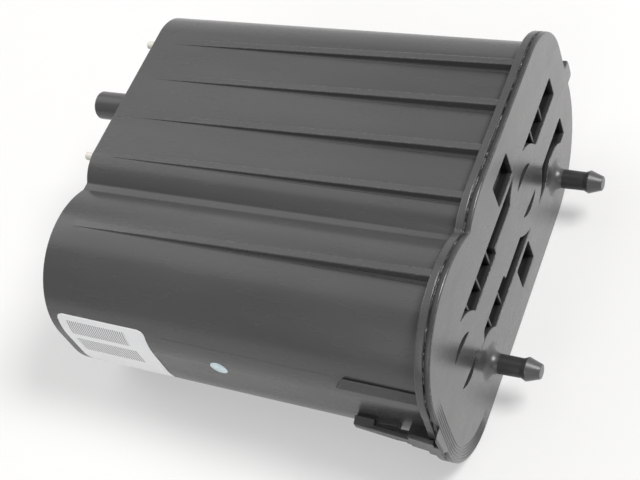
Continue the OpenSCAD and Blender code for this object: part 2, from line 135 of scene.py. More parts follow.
def within(points, outline):
    """True where a point lies in a closed outline: a ray along Y from it crosses an odd number of sides."""
    ends = np.roll(outline, -1, axis=0)
    z, y0, z0, y1, z1 = points[:, 1, None], outline[:, 0], outline[:, 1], ends[:, 0], ends[:, 1]
    spans = (z0 > z) != (z1 > z)
    rise = np.where(spans, z1 - z0, 1.0)
    crossing = y0 + (z - z0) * (y1 - y0) / rise
    return np.sum(spans & (crossing > points[:, 0, None]), axis=1) % 2 == 1


print("a wrapped grid of 3 by 4 points has", len(loft_faces(3, 4)), "quads")

# %% [markdown]
# A moulded piece is several surfaces that share their edges, such as a wall, a rounding and a flat end.
# They are collected in one shape, which is easier than joining finished objects afterwards.
# A number called edge marks the rounded edges, painted lighter: partly rubbed by handling, partly a painted
# highlight.

# %% Shape of a piece
class Shape:
    """Points, faces and edge marks of one piece, collected from several lofts and fills."""

    def __init__(self):
        self.points, self.faces, self.edge, self.count = [], [], [], 0

    def add(self, points, faces, edge=0.0):
        """Adds points and faces; the faces' numbers count on from the points that are there already."""
        points = np.asarray(points, dtype=float).reshape(-1, 3)
        self.faces += [[k + self.count for k in face] for face in faces]
        self.points.append(points)
        self.edge.append(np.broadcast_to(np.asarray(edge, dtype=float).ravel(), (len(points),)))
        self.count += len(points)

    def loft(self, rows, marks=None, caps=(False, False)):
        """Joins closed rows of equal length; caps says whether the first and last row are filled."""
        rows = np.asarray(rows)
        marks = np.zeros(len(rows)) if marks is None else np.asarray(marks, dtype=float)
        faces = loft_faces(len(rows), rows.shape[1])
        if caps[0]:
            faces.append(list(range(rows.shape[1])))
        if caps[1]:
            faces.append(list(range((len(rows) - 1) * rows.shape[1], len(rows) * rows.shape[1])))
        self.add(rows, faces, np.repeat(marks, rows.shape[1]))

    def fill(self, x, outlines):
        """Flat face at x between a first outline and the holes in it, cut into triangles along the outlines.

        The cutter works in single precision, so the outlines are rounded to that before the inside test."""
        outlines = [o.astype(np.float32).astype(float) for o in outlines]
        sizes = [len(o) for o in outlines]
        starts = np.concatenate([[0], np.cumsum(sizes)[:-1]])
        edges = np.vstack([np.column_stack([np.arange(n), (np.arange(n) + 1) % n]) + start
                           for n, start in zip(sizes, starts)])
        cut = delaunay_2d_cdt([Vector(p) for p in np.vstack(outlines)], edges.tolist(), [], 0, 1e-6)
        points, triangles = np.array([tuple(p) for p in cut[0]]), np.array(cut[2])
        middle = points[triangles].mean(axis=1)
        times_inside = np.sum([within(middle, o) for o in outlines], axis=0)
        self.add(at_x(x, points), triangles[times_inside % 2 == 1].tolist())


print("an empty shape has", Shape().count, "points")

# %% [markdown]
# A shape becomes an object here. Poles and shared rings are merged, faces are turned outwards, and edges
# sharper than an angle stay crisp. Flat faces beside a rounding would look swollen with plain smooth shading,
# so a modifier weighs the normals by area. At last the piece is hung on the frame in place of its solid.

# %% Object of a piece
MERGE = 0.002


def piece(name, shape, finish, node, sharp=38, bevel=0.0):
    """Mesh object of a shape, merged and turned outwards, and hung on the frame in place of a node."""
    mesh = bpy.data.meshes.new(name)
    points = np.vstack(shape.points) * MM
    mesh.from_pydata(points.tolist(), [], shape.faces)
    mesh.attributes.new("edge", "FLOAT", "POINT").data.foreach_set("value", np.concatenate(shape.edge))
    welded = bmesh.new()
    welded.from_mesh(mesh)
    bmesh.ops.remove_doubles(welded, verts=welded.verts, dist=MERGE * MM)
    bmesh.ops.recalc_face_normals(welded, faces=welded.faces)
    welded.to_mesh(mesh)
    welded.free()
    mesh.shade_smooth()
    mesh.set_sharp_from_angle(angle=np.radians(sharp))
    mesh.materials.append(finish)
    made = bpy.data.objects.new(name, mesh)
    bpy.context.scene.collection.objects.link(made)
    if bevel:
        rounding = made.modifiers.new("rounding", "BEVEL")
        rounding.width = bevel * MM
        rounding.segments = 2
        rounding.limit_method = "ANGLE"
        rounding.angle_limit = np.radians(30)
    even = made.modifiers.new("even_normals", "WEIGHTED_NORMAL")
    even.keep_sharp = True
    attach(made, "root")
    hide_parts(node)
    print(name, len(mesh.polygons), "faces")
    return made


print("points closer than", MERGE, "mm are merged")

# %% [markdown]
# Every finish here is a Principled shader fed by noise in object coordinates, so nothing needs unwrapping.
# A tree of nodes is long to write out. Short calls for noise, ranges, sums, mixes and bump keep it readable.

# %% Calls for finishes
class Finish:
    """A node material with a Principled shader, and short calls for the nodes that feed it."""

    def __init__(self, name):
        self.material = bpy.data.materials.new(name)
        self.material.use_nodes = True
        self.tree = self.material.node_tree
        self.shader = self.tree.nodes["Principled BSDF"]
        self.place = self.add("ShaderNodeTexCoord").outputs["Object"]

    def add(self, kind, **settings):
        """New node of a kind, with the settings given."""
        node = self.tree.nodes.new(kind)
        for key, value in settings.items():
            setattr(node, key, value)
        return node

    def link(self, source, target):
        """Joins an output socket to an input socket."""
        self.tree.links.new(source, target)

    def noise(self, scale, detail=4.0, stretch=(1.0, 1.0, 1.0)):
        """Value of a noise of the given number of waves per metre, stretched along the axes."""
        mapping = self.add("ShaderNodeMapping")
        mapping.inputs["Scale"].default_value = stretch
        self.link(self.place, mapping.inputs["Vector"])
        texture = self.add("ShaderNodeTexNoise")
        texture.inputs["Scale"].default_value = scale
        texture.inputs["Detail"].default_value = detail
        self.link(mapping.outputs["Vector"], texture.inputs["Vector"])
        return texture.outputs["Fac"]

    def spread(self, value, low, high, to_low, to_high):
        """Value between low and high, mapped to the range from to_low to to_high and held there."""
        node = self.add("ShaderNodeMapRange")
        node.inputs["From Min"].default_value = low
        node.inputs["From Max"].default_value = high
        node.inputs["To Min"].default_value = to_low
        node.inputs["To Max"].default_value = to_high
        self.link(value, node.inputs["Value"])
        return node.outputs["Result"]

    def math(self, operation, a, b):
        """One arithmetic step between two values, each a socket or a number."""
        node = self.add("ShaderNodeMath", operation=operation)
        for socket, value in zip(node.inputs, (a, b)):
            if isinstance(value, (int, float)):
                socket.default_value = value
            else:
                self.link(value, socket)
        return node.outputs["Value"]

    def mix(self, factor, a, b):
        """Colour between a and b by the factor; a and b are sockets or triples."""
        node = self.add("ShaderNodeMix", data_type="RGBA")
        self.link(factor, node.inputs["Factor"])
        for socket, value in ((node.inputs[6], a), (node.inputs[7], b)):
            if isinstance(value, tuple):
                socket.default_value = (*value, 1.0)
            else:
                self.link(value, socket)
        return node.outputs[2]

    def attribute(self, name):
        """Value that the mesh holds under a name."""
        return self.add("ShaderNodeAttribute", attribute_name=name).outputs["Fac"]

    def bump(self, *layers):
        """Bump of one or more (height, strength, distance in mm) layers, each on top of the last."""
        normal = None
        for height, strength, distance in layers:
            node = self.add("ShaderNodeBump")
            node.inputs["Strength"].default_value = strength
            node.inputs["Distance"].default_value = distance * MM
            self.link(height, node.inputs["Height"])
            if normal is not None:
                self.link(normal, node.inputs["Normal"])
            normal = node.outputs["Normal"]
        self.link(normal, self.shader.inputs["Normal"])


print("finishes are made by", Finish.__name__)

# %% [markdown]
# The shell and the cover are the same kind of black moulded plastic, but they don't look alike.
# The shell comes from a finely eroded mould and is dull. The cover's face is smoother and mirrors the table.
# A coat gives that mirror. It ends with the flat of the face. Behind it the openings are dull, with painted
# shade.
# One function makes all: slow mottling, fine grain as bump, varying gloss, edges lighter by wear and painted
# highlight.
# It also gives the pins' finishes: shanks painted darker as shade, and roots and noses whose gloss is more
# spread out.

# %% Black plastic
WORN_AND_HIGHLIGHT, SPECK, CAVITY_SHADE = (0.30, 0.30, 0.29), (0.22, 0.22, 0.22), (0.015, 0.015, 0.015)
SHADE_FADE, COAT_FADE = (2.3, 1.1), (0.7, 0.05)


def black_plastic(name, dark, light, gloss, grain, streak, coat):
    """Black plastic: mottling between two tones, gloss between two values, grain and flow streaks as bump.

    A coat lies on the cover's face only. Behind it the colour fades to black as painted shade, and dulls."""
    f = Finish(name)
    mottle = f.spread(f.noise(55.0, 5.0, streak), 0.3, 0.7, 0.0, 1.0)
    # Marked edges get a lighter colour: partly rubbed wear, partly a painted highlight.
    edge_mark_noise = f.spread(f.noise(800.0, 3.0), 0.5, 0.66, 0.0, 1.0)
    wear_and_highlight = f.math("MULTIPLY", f.attribute("edge"), edge_mark_noise)
    specks = f.spread(f.noise(1500.0, 2.0), 0.74, 0.8, 0.0, 0.5)
    tone = f.mix(wear_and_highlight, f.mix(mottle, dark, light), WORN_AND_HIGHLIGHT)
    colour = f.mix(specks, tone, SPECK)
    if coat > 0.0:
        # Behind the face the colour fades to near black, painted shade in the openings, and the specular
        # drops.
        apart = f.add("ShaderNodeSeparateXYZ")
        f.link(f.place, apart.inputs["Vector"])
        face = f.spread(apart.outputs["X"], *((FACE_X - back) * MM for back in SHADE_FADE), 0.0, 1.0)
        flat = f.spread(apart.outputs["X"], *((FACE_X - back) * MM for back in COAT_FADE), 0.0, coat)
        colour = f.mix(face, CAVITY_SHADE, colour)
        f.link(flat, f.shader.inputs["Coat Weight"])
        f.link(f.spread(face, 0.0, 1.0, 0.2, 0.5), f.shader.inputs["Specular IOR Level"])
    f.link(colour, f.shader.inputs["Base Color"])
    f.link(f.spread(f.noise(160.0, 6.0, streak), 0.3, 0.7, *gloss), f.shader.inputs["Roughness"])
    f.shader.inputs["Coat Roughness"].default_value = gloss[0]
    f.bump((f.noise(90.0, 3.0, streak), 0.06, 0.25), (f.noise(4200.0, 2.0), grain, 0.03))
    return f.material


SHELL_FINISH = black_plastic("shell_plastic", (0.056, 0.056, 0.055), (0.067, 0.067, 0.066), (0.22, 0.30),
                             grain=0.22, streak=(0.25, 1.0, 1.0), coat=0.0)
COVER_FINISH = black_plastic("cover_plastic", (0.036, 0.036, 0.036), (0.046, 0.046, 0.045), (0.25, 0.34),
                             grain=0.10, streak=(1.0, 0.5, 1.0), coat=0.85)
# The shanks are the cover's plastic, painted darker as shade.
SHADED_PIN_FINISH = black_plastic("pin_plastic", (0.022, 0.022, 0.022), (0.030, 0.030, 0.030), (0.40, 0.50),
                           grain=0.10, streak=(0.4, 1.0, 1.0), coat=0.0)
ROOT_FINISH = black_plastic("pin_root_plastic", (0.036, 0.036, 0.036), (0.046, 0.046, 0.045), (0.38, 0.46),
                            grain=0.10, streak=(1.0, 0.5, 1.0), coat=0.9)
print("finishes", SHELL_FINISH.name, COVER_FINISH.name, SHADED_PIN_FINISH.name, ROOT_FINISH.name)

# %% [markdown]
# Across its length the shell is one outline: a flat top with a round far corner, a shoulder, valley and lobe.
# On the collar the valley is a fillet. Its centre is where shoulder and lobe, grown by the fillet, cross.
# On the skin it has a level floor, with a small fillet up to the shoulder and another up to the lobe.
# The mould has draft, so the outline grows a little from the port end to the collar. Two growths carry that.

# %% Section of the shell
SHELL_H, FAR_Y, FRONT_Y = 84.4, 80.0, 81.0
LOBE_H, LOBE_R = 83.2, 35.6
SHOULDER_R, SHOULDER_Y, VALLEY_R = 36.0, 4.0, 6.6
TOP_FAR_R, LOW_FAR_R, LOW_FRONT_R = 20.0, 35.5, 33.0
LOBE_Y, LOBE_Z = LOBE_R - FRONT_Y, LOBE_H - LOBE_R
FLAT_START, FLAT_DRAFT, LOBE_START, LOBE_DRAFT = 0.1, 0.8, 0.5, 1.7
SKIN_SHOULDER, RIM_SHOULDER = (16.5, 10.0), (SHOULDER_R, SHOULDER_Y)
VALLEY_FLOOR, FLOOR_R = 78.1, 1.4


def fillet_centre(a, ra, b, rb, fillet):
    """Where circles a and b, grown by the fillet, cross: a run along their line of centres, then a rise."""
    gap = np.linalg.norm(b - a)
    along = (b - a) / gap
    across = np.array([along[1], -along[0]])
    run = ((ra + fillet) ** 2 - (rb + fillet) ** 2 + gap ** 2) / (2 * gap)
    return a + run * along + np.sqrt((ra + fillet) ** 2 - run ** 2) * across


def floor_centre(circle, radius, level, side):
    """Centre of a fillet between a circle and a level floor: its radius above the floor, off to one side."""
    up = level + FLOOR_R - circle[1]
    return np.array([circle[0] + side * np.sqrt((radius + FLOOR_R) ** 2 - up ** 2), level + FLOOR_R])


def top_arcs(flat, lobe, rise, shoulder, fillet=None):
    """Upper far corner, shoulder, valley and lobe down to its front, grown by flat and by lobe.

    The valley is one fillet of the radius given, or else a level floor with a fillet at each side."""
    rs, rl = shoulder[0] + flat, LOBE_R + lobe
    centre, middle = np.array([-shoulder[1], SHELL_H - shoulder[0]]), np.array([LOBE_Y, LOBE_Z + rise])
    if fillet is None:
        level = VALLEY_FLOOR + (flat + lobe) / 2
        first, last = floor_centre(centre, rs, level, -1), floor_centre(middle, rl, level, 1)
        valley = np.vstack([arc(first, FLOOR_R, bearing(first, centre), -90, 8)[1:],
                            arc(last, FLOOR_R, -90, bearing(last, middle), 8)[:-1]])
    else:
        first = last = fillet_centre(centre, rs, middle, rl, fillet)
        valley = arc(first, fillet, bearing(first, centre), bearing(last, middle), 14)[1:-1]
    return [arc((FAR_Y - TOP_FAR_R, SHELL_H - TOP_FAR_R), TOP_FAR_R + flat, 0, 90, 20),
            arc(centre, rs, 90, bearing(centre, first), 18), valley,
            arc(middle, rl, bearing(middle, last), 179, 40)]


def shell_section(flat, lobe, base):
    """The whole outline, counter-clockwise from the back, with its base at the height given."""
    back_r, nose_r = LOW_FAR_R + flat, LOW_FRONT_R + lobe
    back = arc((FAR_Y - LOW_FAR_R, base + back_r), back_r, -90, 0, 20)
    nose = arc((LOW_FRONT_R - FRONT_Y, base + nose_r), nose_r, 180, 270, 24)
    return np.vstack([back, *top_arcs(flat, lobe, 0.0, SKIN_SHOULDER), nose])


def draft_at(x):
    """How far along the mould x lies, from 0 at the port end to 1 at the collar."""
    return (x - PORT_X) / (COLLAR_X - PORT_X)


def growth_at(x):
    """Growth of the flat part and of the lobe at x, by the draft."""
    return FLAT_START + FLAT_DRAFT * draft_at(x), LOBE_START + LOBE_DRAFT * draft_at(x)


print("section has", len(shell_section(0, 0, 0)), "points")

# %% [markdown]
# The skin is that outline carried along X. At the port end a quarter round turns it into the flat end wall.
# A bevelled box would need its valley cut in afterwards. The loft has valley, lobe and draft from the start.
# The end wall is a flat fill round the fresh-air opening in the lobe, which is a short blind recess here.
# The skin ends inside the collar, so no gap can show there.

# %% Skin of the shell
END_R, STATIONS = 0.4, 30
AIR_R, AIR_DEPTH = 6.0, 4.0
skin = Shape()
rows, marks = [], []
for turn in np.linspace(0, 90, 7):
    inset = END_R * (1 - np.sin(np.radians(turn)))
    x = PORT_X + END_R * (1 - np.cos(np.radians(turn)))
    flat, lobe = growth_at(x)
    rows.append(at_x(x, shell_section(flat - inset, lobe - inset, inset)))
    # The port end's rounding is marked lighter: partly wear, partly a painted highlight.
    marks.append(0.5 * np.sin(np.radians(2 * turn)))
for x in np.linspace(PORT_X + END_R, COLLAR_X + COLLAR_W / 2, STATIONS)[1:]:
    rows.append(at_x(x, shell_section(*growth_at(x), 0.0)))
    marks.append(0.0)
mouth = arc((LOBE_Y, LOBE_Z), AIR_R, 0, 360, 49)[:-1]
skin.loft(rows, marks, caps=(False, True))
skin.fill(PORT_X, [rows[0][:, 1:], mouth])
skin.loft([at_x(PORT_X, mouth), at_x(PORT_X + AIR_DEPTH, mouth)], caps=(False, True))
piece("shell_skin", skin, SHELL_FINISH, "canister_body", sharp=50)

# %% [markdown]
# Wedge ribs stiffen the flat top and the lobe: they start level with the panel and end level with the collar.
# Each is a small profile carried along X: a fillet up from the panel, a rounded top, and the same down again.
# The fillet and the rounding shrink with the height, so that the thin start stays clean.

# %% Ribs
COLLAR_GROW, LOBE_RISE = 5.6, 2.0
RIB_W, RIB_START, RIB_STEP, START_STEP, LAP = 3.3, 4.0, 0.4, 0.15, 1.0
RIB_FIRST_Y, RIB_PITCH, RIB_COUNT, FAR_RIB_Y, LOBE_RIB_Y = -11.7, 22.2, 3, 53.5, -47.9
FOOT_R, TOP_R, ROOT_DEPTH, EDGE_W, RIB_ROWS = 0.9, 0.5, 1.4, 0.3, 40
LEAST_H, ROUND_SHARE, FRONT_WEAR_AND_HIGHLIGHT, BACK_WEAR_AND_HIGHLIGHT = 0.02, 0.45, 0.15, 0.3


def flat_top(y, grow, shoulder=SKIN_SHOULDER):
    """Height of the flat top at y: the panel, or the shoulder's circle where it has begun to turn down."""
    over = np.maximum(0.0, -shoulder[1] - y)
    return SHELL_H - shoulder[0] + np.sqrt((shoulder[0] + grow) ** 2 - over ** 2)


def lobe_top(y, grow, rise=0.0):
    """Height of the lobe's circle at y."""
    return LOBE_Z + rise + np.sqrt((LOBE_R + grow) ** 2 - (y - LOBE_Y) ** 2)


def rib_profile(low, high):
    """Across a rib: root, concave foot, rounded top corner, and the mirror image, between two heights."""
    tall = max(high - low, LEAST_H)
    foot, crown, half = min(FOOT_R, ROUND_SHARE * tall), min(TOP_R, ROUND_SHARE * tall), RIB_W / 2
    left = np.vstack([[[-half - foot, low - ROOT_DEPTH]], arc((-half - foot, low + foot), foot, -90, 0, 5),
                      arc((crown - half, high - crown), crown, 180, 90, 5), [[crown - half + EDGE_W, high]]])
    return np.vstack([left, left[::-1] * (-1, 1)])


def rib(y, panel, end):
    """Rows of a rib with its front edge at y, from the panel's height up to the height at the collar."""
    first, last = PORT_X + RIB_START, COLLAR_X
    low, gain = panel(first) - START_STEP, panel(last) - panel(first)
    emerge = first + (last - first) * START_STEP / (end - low - gain)
    made = []
    for x in np.linspace(emerge, COLLAR_X + LAP, RIB_ROWS):
        top = low + (end - low) * (x - first) / (last - first)
        made.append(at_x(x, rib_profile(panel(x), top) + (y + RIB_W / 2, 0)))
    return made


ribs = Shape()
# The crowns' edges are painted lighter, partly as wear and partly as a highlight, stronger on the back edge.
corner_marks = np.r_[np.zeros(7), 0.5, 1.0, 1.0, 0.5, 0.0]
crown_marks = np.tile(np.r_[FRONT_WEAR_AND_HIGHLIGHT * corner_marks, BACK_WEAR_AND_HIGHLIGHT * corner_marks[::-1]], RIB_ROWS)
for y in [RIB_FIRST_Y + i * RIB_PITCH for i in range(RIB_COUNT)] + [FAR_RIB_Y]:
    middle = y + RIB_W / 2
    grid = rib(y, lambda x: flat_top(middle, growth_at(x)[0]),
               flat_top(y, COLLAR_GROW, RIM_SHOULDER) - RIB_STEP)
    ribs.loft(grid, caps=(True, True))
    ribs.edge[-1] = crown_marks
middle = LOBE_RIB_Y + RIB_W / 2
grid = rib(LOBE_RIB_Y, lambda x: lobe_top(middle, growth_at(x)[1]),
           lobe_top(LOBE_RIB_Y, COLLAR_GROW, LOBE_RISE) - RIB_STEP)
ribs.loft(grid, caps=(True, True))
ribs.edge[-1] = crown_marks
piece("shell_ribs", ribs, SHELL_FINISH, "canister_body", sharp=50)

# %% [markdown]
# The collar is the shell's welding flange, with a foot and an ear. The cover's rim has its outline and a pad.
# Both come from one function with an inset, so edges can be rounded by stepping the inset as x moves on.
# The outline has three runs with a fixed number of points each. So the pad can stand out of the middle run,
# and all other points stay in line from row to row. Its top falls away behind the face.

# %% Outline of collar and rim
FOOT_OUT, RIM_FOOT_R, PAD_OUT = 8.5, 28.0, 10.3
EAR_OUT, EAR_Z, EAR_W = 10.5, 46.5, 10.0
EAR_R, PAD_TOP_R, PAD_LOW_R, PAD_HEEL = 1.6, 0.6, 2.4, 3.0
PAD_LOW, PAD_HIGH, PAD_T, PAD_FALL = 32.0, 47.6, 1.2, 3.0


def rim_runs(inset, fall):
    """Outline, counter-clockwise from the back and set in by inset, as three runs: arcs, pad and foot.

    The pad's top lies lower by the fall, and with no fall given the middle run is straight, without a pad."""
    grow = COLLAR_GROW - inset
    far, ear = FAR_Y + grow, FAR_Y + EAR_OUT - inset
    back_r = LOW_FAR_R + COLLAR_GROW
    back = arc((FAR_Y - LOW_FAR_R, back_r), back_r - inset, -90, 0, 24)
    low, high = EAR_Z - EAR_W / 2 + inset, EAR_Z + EAR_W / 2 - inset
    ear_edge = np.vstack([[[far, low]], arc((ear - EAR_R, low + EAR_R), EAR_R, -90, 0, 5),
                          arc((ear - EAR_R, high - EAR_R), EAR_R, 0, 90, 5), [[far, high]]])
    arcs = np.vstack([back, ear_edge, *top_arcs(grow, grow, LOBE_RISE, RIM_SHOULDER, VALLEY_R - grow)])
    foot = arc((RIM_FOOT_R - FRONT_Y - FOOT_OUT, RIM_FOOT_R), RIM_FOOT_R - inset, 172.5, 270, 36)
    pad = -FRONT_Y - PAD_OUT + inset
    middle = np.empty((0, 2))
    if fall is not None:
        top = arc((pad + PAD_TOP_R, PAD_HIGH - PAD_TOP_R - fall), PAD_TOP_R, 90, 180, 6)
        heel = arc((pad + PAD_LOW_R, PAD_LOW + PAD_HEEL), PAD_LOW_R, 180, 235, 5) + (0, inset)
        middle = np.vstack([[[arcs[-1, 0], PAD_HIGH - fall]], top, heel])
    return arcs, np.vstack([arcs[-1:], middle, foot[:1]]), np.vstack([foot, back[:1]])


def run_points(path, count):
    """Points at equal steps along an open path, found by linear interpolation, without its last one."""
    length = np.concatenate([[0.0], np.cumsum(np.linalg.norm(np.diff(path, axis=0), axis=1))])
    at = np.linspace(0.0, length[-1], count, endpoint=False)
    return np.column_stack([np.interp(at, length, path[:, 0]), np.interp(at, length, path[:, 1])])


RIM_COUNTS = (400, 44, 120)
RIM = {}


def rim(inset, fall=None):
    """The rim's outline with a fixed number of points on each run, worked out once per inset and fall."""
    key = (round(float(inset), 4), fall)
    if key not in RIM:
        RIM[key] = np.vstack([run_points(path, count) for path, count in zip(rim_runs(*key), RIM_COUNTS)])
    return RIM[key]


print("rim measures", [round(float(side), 1) for side in np.ptp(rim(0, 0.0), axis=0)], "mm")

# %% [markdown]
# The collar ring is a loft of that outline: in along the shell, out round one edge, across, and back in.
# It is closed on the inside of the skin, where the two overlap.

# %% Collar
COLLAR_EDGE = 0.7
BURIED = COLLAR_GROW + 1.5


def rounded_rows(x, radius, inset, out=True, toward=1):
    """Rows of a quarter round: x moves on by one minus cosine, the inset shrinks by sine, or backwards."""
    turn = np.radians(np.linspace(0, 90, 5))
    step, drop = radius * (1 - np.cos(turn)), radius * (1 - np.sin(turn))
    pairs = list(zip(x + toward * step, inset + drop))
    return pairs if out else pairs[::-1]


stations = [(COLLAR_X, BURIED)] + rounded_rows(COLLAR_X, COLLAR_EDGE, 0.0)
stations += rounded_rows(WELD_X, COLLAR_EDGE, 0.0, out=False, toward=-1) + [(WELD_X, BURIED)]
collar = Shape()
collar.loft([at_x(x, rim(inset)) for x, inset in stations + stations[:1]])
piece("shell_collar", collar, SHELL_FINISH, "canister_body", sharp=50)

# %% [markdown]
# A bracket slides onto two hooked rails on the lobe: a plain one above, and one with a ramp and snap window.
# They are straight bars with a few flats, so each is made of prisms between two outlines, with small bevels.
# A swept curve would need a path for one straight pull. The upper rail is a single prism with a slanted end.

# %% Upper rail
RAIL_LEN, LIP_T, WEB_T, CREST, RAIL_BEVEL = 31.0, 2.0, 3.0, 0.4, 0.3
UPPER_LIP_Z, UPPER_LIP_H, UPPER_REACH, UPPER_SLOT_Y = 60.8, 3.6, 3.2, -81.3
END_SLANT, ROOT_LOW, ROOT_HIGH = 2.6, 2.0, 6.0
RAIL_X = COLLAR_X - RAIL_LEN


def prism(shape, first, last):
    """Solid between two outlines of equal length in space."""
    shape.loft([np.asarray(first, dtype=float), np.asarray(last, dtype=float)], caps=(True, True))


upper = Shape()
out, low = -FRONT_Y - UPPER_REACH, UPPER_LIP_Z - UPPER_LIP_H
hook = [[out, low], [out + LIP_T, low - WEB_T], [ROOT_LOW - FRONT_Y, low - WEB_T],
        [ROOT_HIGH - FRONT_Y, low], [UPPER_SLOT_Y, low], [UPPER_SLOT_Y, UPPER_LIP_Z],
        [UPPER_SLOT_Y - CREST, UPPER_LIP_Z]]
ends = [at_x(x, np.array(hook)) for x in (RAIL_X - LAP, COLLAR_X + LAP)]
ends[0][:, 0] -= END_SLANT * (UPPER_LIP_Z - ends[0][:, 2]) / UPPER_LIP_H
prism(upper, *ends)
piece("upper_rail", upper, SHELL_FINISH, "canister_body", bevel=RAIL_BEVEL)

# %% [markdown]
# The lower rail carries the snap: a ramp leads up to a window in the floor of its channel.
# To cut the window would take a boolean. Here the floor is built round it, as two blocks and two strips.
# The lip leans outwards towards the collar, and one line gives its outer face all the way.
# It ends in a stop with a foot block below, and both run on to the rim. The blocks lap into each other.

# %% Lower rail
LOWER_LIP_Z, LOWER_REACH, LOWER_REACH_END, LOWER_ROOT, CHANNEL_Z = 36.6, 7.0, 9.4, 3.0, 35.0
LOWER_LEAD, LOWER_SLOT_Y, SLOPE_CUT, BROW_Z, BROW_END_Z = 2.1, -84.4, 5.4, 35.2, 37.4
SNAP_W, SNAP_D, SNAP_IN, RAMP_H = 4.4, 3.2, 1.2, 2.0
STOP_LEN, STOP_RISE, STOP_BACK, STOP_GAP, STOP_DROP = 8.0, 2.2, -0.3, 0.4, 0.3
BLOCK_DROP, BLOCK_RISE, FOOT_DROP, PAD_LAP, STEP = 0.2, 0.1, 2.6, 0.05, 0.02


def lower_out(x):
    """Outer face of the lower lip at x: a straight line from its free end to the collar."""
    return -FRONT_Y - LOWER_REACH - (LOWER_REACH_END - LOWER_REACH) * (x - RAIL_X) / RAIL_LEN


def lip_block(shape, x0, x1, z0, z1, back=0.0, thick=LIP_T):
    """Block of the lower lip between two stations and two heights, set back from its outer face."""
    ends = [[[x, lower_out(x) + back, z0], [x, lower_out(x) + back + thick, z0],
             [x, lower_out(x) + back + thick, z1], [x, lower_out(x) + back, z1]] for x in (x0, x1)]
    prism(shape, *ends)


lower = Shape()
low, sole, stop_x = CHANNEL_Z, CHANNEL_Z - WEB_T, COLLAR_X - STOP_LEN
snap_x = stop_x - 1.5 * SNAP_W
ramp_x, snap_y, snap_in = snap_x - 2 * SNAP_W, -FRONT_Y - SNAP_IN - SNAP_D, -FRONT_Y - SNAP_IN
web = LOWER_REACH_END + LOWER_ROOT
lower_x, pad_x = RAIL_X - LOWER_LEAD, FACE_X - PAD_T + PAD_LAP
lip_block(lower, lower_x, snap_x, sole, low, thick=web)
lip_block(lower, snap_x + SNAP_W, COLLAR_X + LAP, sole, low, thick=web)
for y0, y1 in ((lower_out(snap_x), snap_y), (snap_in, web - FRONT_Y - LOWER_REACH)):
    strip = np.array([[y0, sole], [y1, sole], [y1, low], [y0, low]])
    prism(lower, at_x(snap_x - LAP / 2, strip), at_x(snap_x + SNAP_W + LAP / 2, strip))
lip_block(lower, stop_x, WELD_X - STOP_GAP, sole - STOP_DROP, BROW_END_Z + STOP_RISE, back=STOP_BACK)
lip_block(lower, WELD_X - LAP, pad_x - STEP, sole - BLOCK_DROP, BROW_END_Z + BLOCK_RISE,
          back=STOP_BACK + STEP)
lip_block(lower, COLLAR_X - LAP, pad_x - 2 * STEP, sole - FOOT_DROP, low - LAP,
          back=STOP_BACK + 2 * STEP, thick=2 * LIP_T)
lip = [[[x, lower_out(x), low - LAP], [x, lower_out(x) + LIP_T, low - LAP], [x, lower_out(x) + LIP_T, z],
        [x, lower_out(x), z]] for x, z in ((lower_x, BROW_Z), (pad_x, BROW_END_Z))]
prism(lower, *lip)
slope = [[[x, lower_out(x), low - LAP], [x, LOWER_SLOT_Y, low - LAP], [x, LOWER_SLOT_Y, LOWER_LIP_Z],
          [x, LOWER_SLOT_Y - CREST, LOWER_LIP_Z], [x, lower_out(x), BROW_Z]]
         for x in (lower_x + STEP, ramp_x + SNAP_W - SLOPE_CUT)]
prism(lower, *slope)
ramp = np.array([[ramp_x, 0, low - LAP], [snap_x, 0, low - LAP],
                 [snap_x, 0, low + RAMP_H], [ramp_x, 0, low]])
prism(lower, ramp + (0, snap_y, 0), ramp + (0, snap_in, 0))
piece("lower_rail", lower, SHELL_FINISH, "canister_body", bevel=RAIL_BEVEL)

# %% [markdown]
# The hose tube, the two small ports, their plugs and the pins on the cover are turned shapes.
# Each is a profile of distances along the axis and radii, spun round an axis that runs along X.
# A profile is short to write and gives a bore as easily as a shaft, so no cutting is needed.

# %% Turned pieces on the port end
PORT_Z, FLANGE_R, SUNK, POLE = 67.0, 1.2, 1.0, 0.01
TUBE_DEPTH, PORT_DEPTH = 22.0, 6.0
TUBE_Y, TUBE_R, TUBE_BORE_R, TUBE_LEN = 27.7, 6.5, 4.5, 24.9
FAR_PORT_Y, NEAR_PORT_Y, PORT_R, PORT_BORE_R, PORT_LEN = 65.9, -1.6, 4.5, 2.5, 7.0


def turned(shape, y, z, profile, around=64):
    """Surface of revolution: each profile point (x, radius) becomes a circle about the axis at y and z."""
    profile = np.asarray(profile, dtype=float)
    angle = np.linspace(0, 2 * np.pi, around, endpoint=False)
    ring = np.column_stack([np.cos(angle), np.sin(angle)])
    rows = [at_x(x, (y, z) + r * ring) for x, r in profile]
    shape.loft(rows, caps=(True, True))


def open_tube(radius, bore, length, depth):
    """Profile of a tube that opens away from the shell: root fillet, wall, rounded mouth, bore and floor."""
    mouth = arc((PORT_X - length + (radius - bore) / 2, (radius + bore) / 2), (radius - bore) / 2, 90, 270, 9)
    fillet = arc((PORT_X - FLANGE_R, radius + FLANGE_R), FLANGE_R, 0, -90, 5)
    floor = [[PORT_X - length + depth, bore], [PORT_X - length + depth, POLE]]
    return np.vstack([[[PORT_X + SUNK, radius + FLANGE_R]], fillet, mouth, floor])


ports = Shape()
turned(ports, TUBE_Y, PORT_Z, open_tube(TUBE_R, TUBE_BORE_R, TUBE_LEN, TUBE_DEPTH))
for y in (FAR_PORT_Y, NEAR_PORT_Y):
    turned(ports, y, PORT_Z, open_tube(PORT_R, PORT_BORE_R, PORT_LEN, PORT_DEPTH), around=40)
piece("hose_tube_and_ports", ports, SHELL_FINISH, "canister_body")

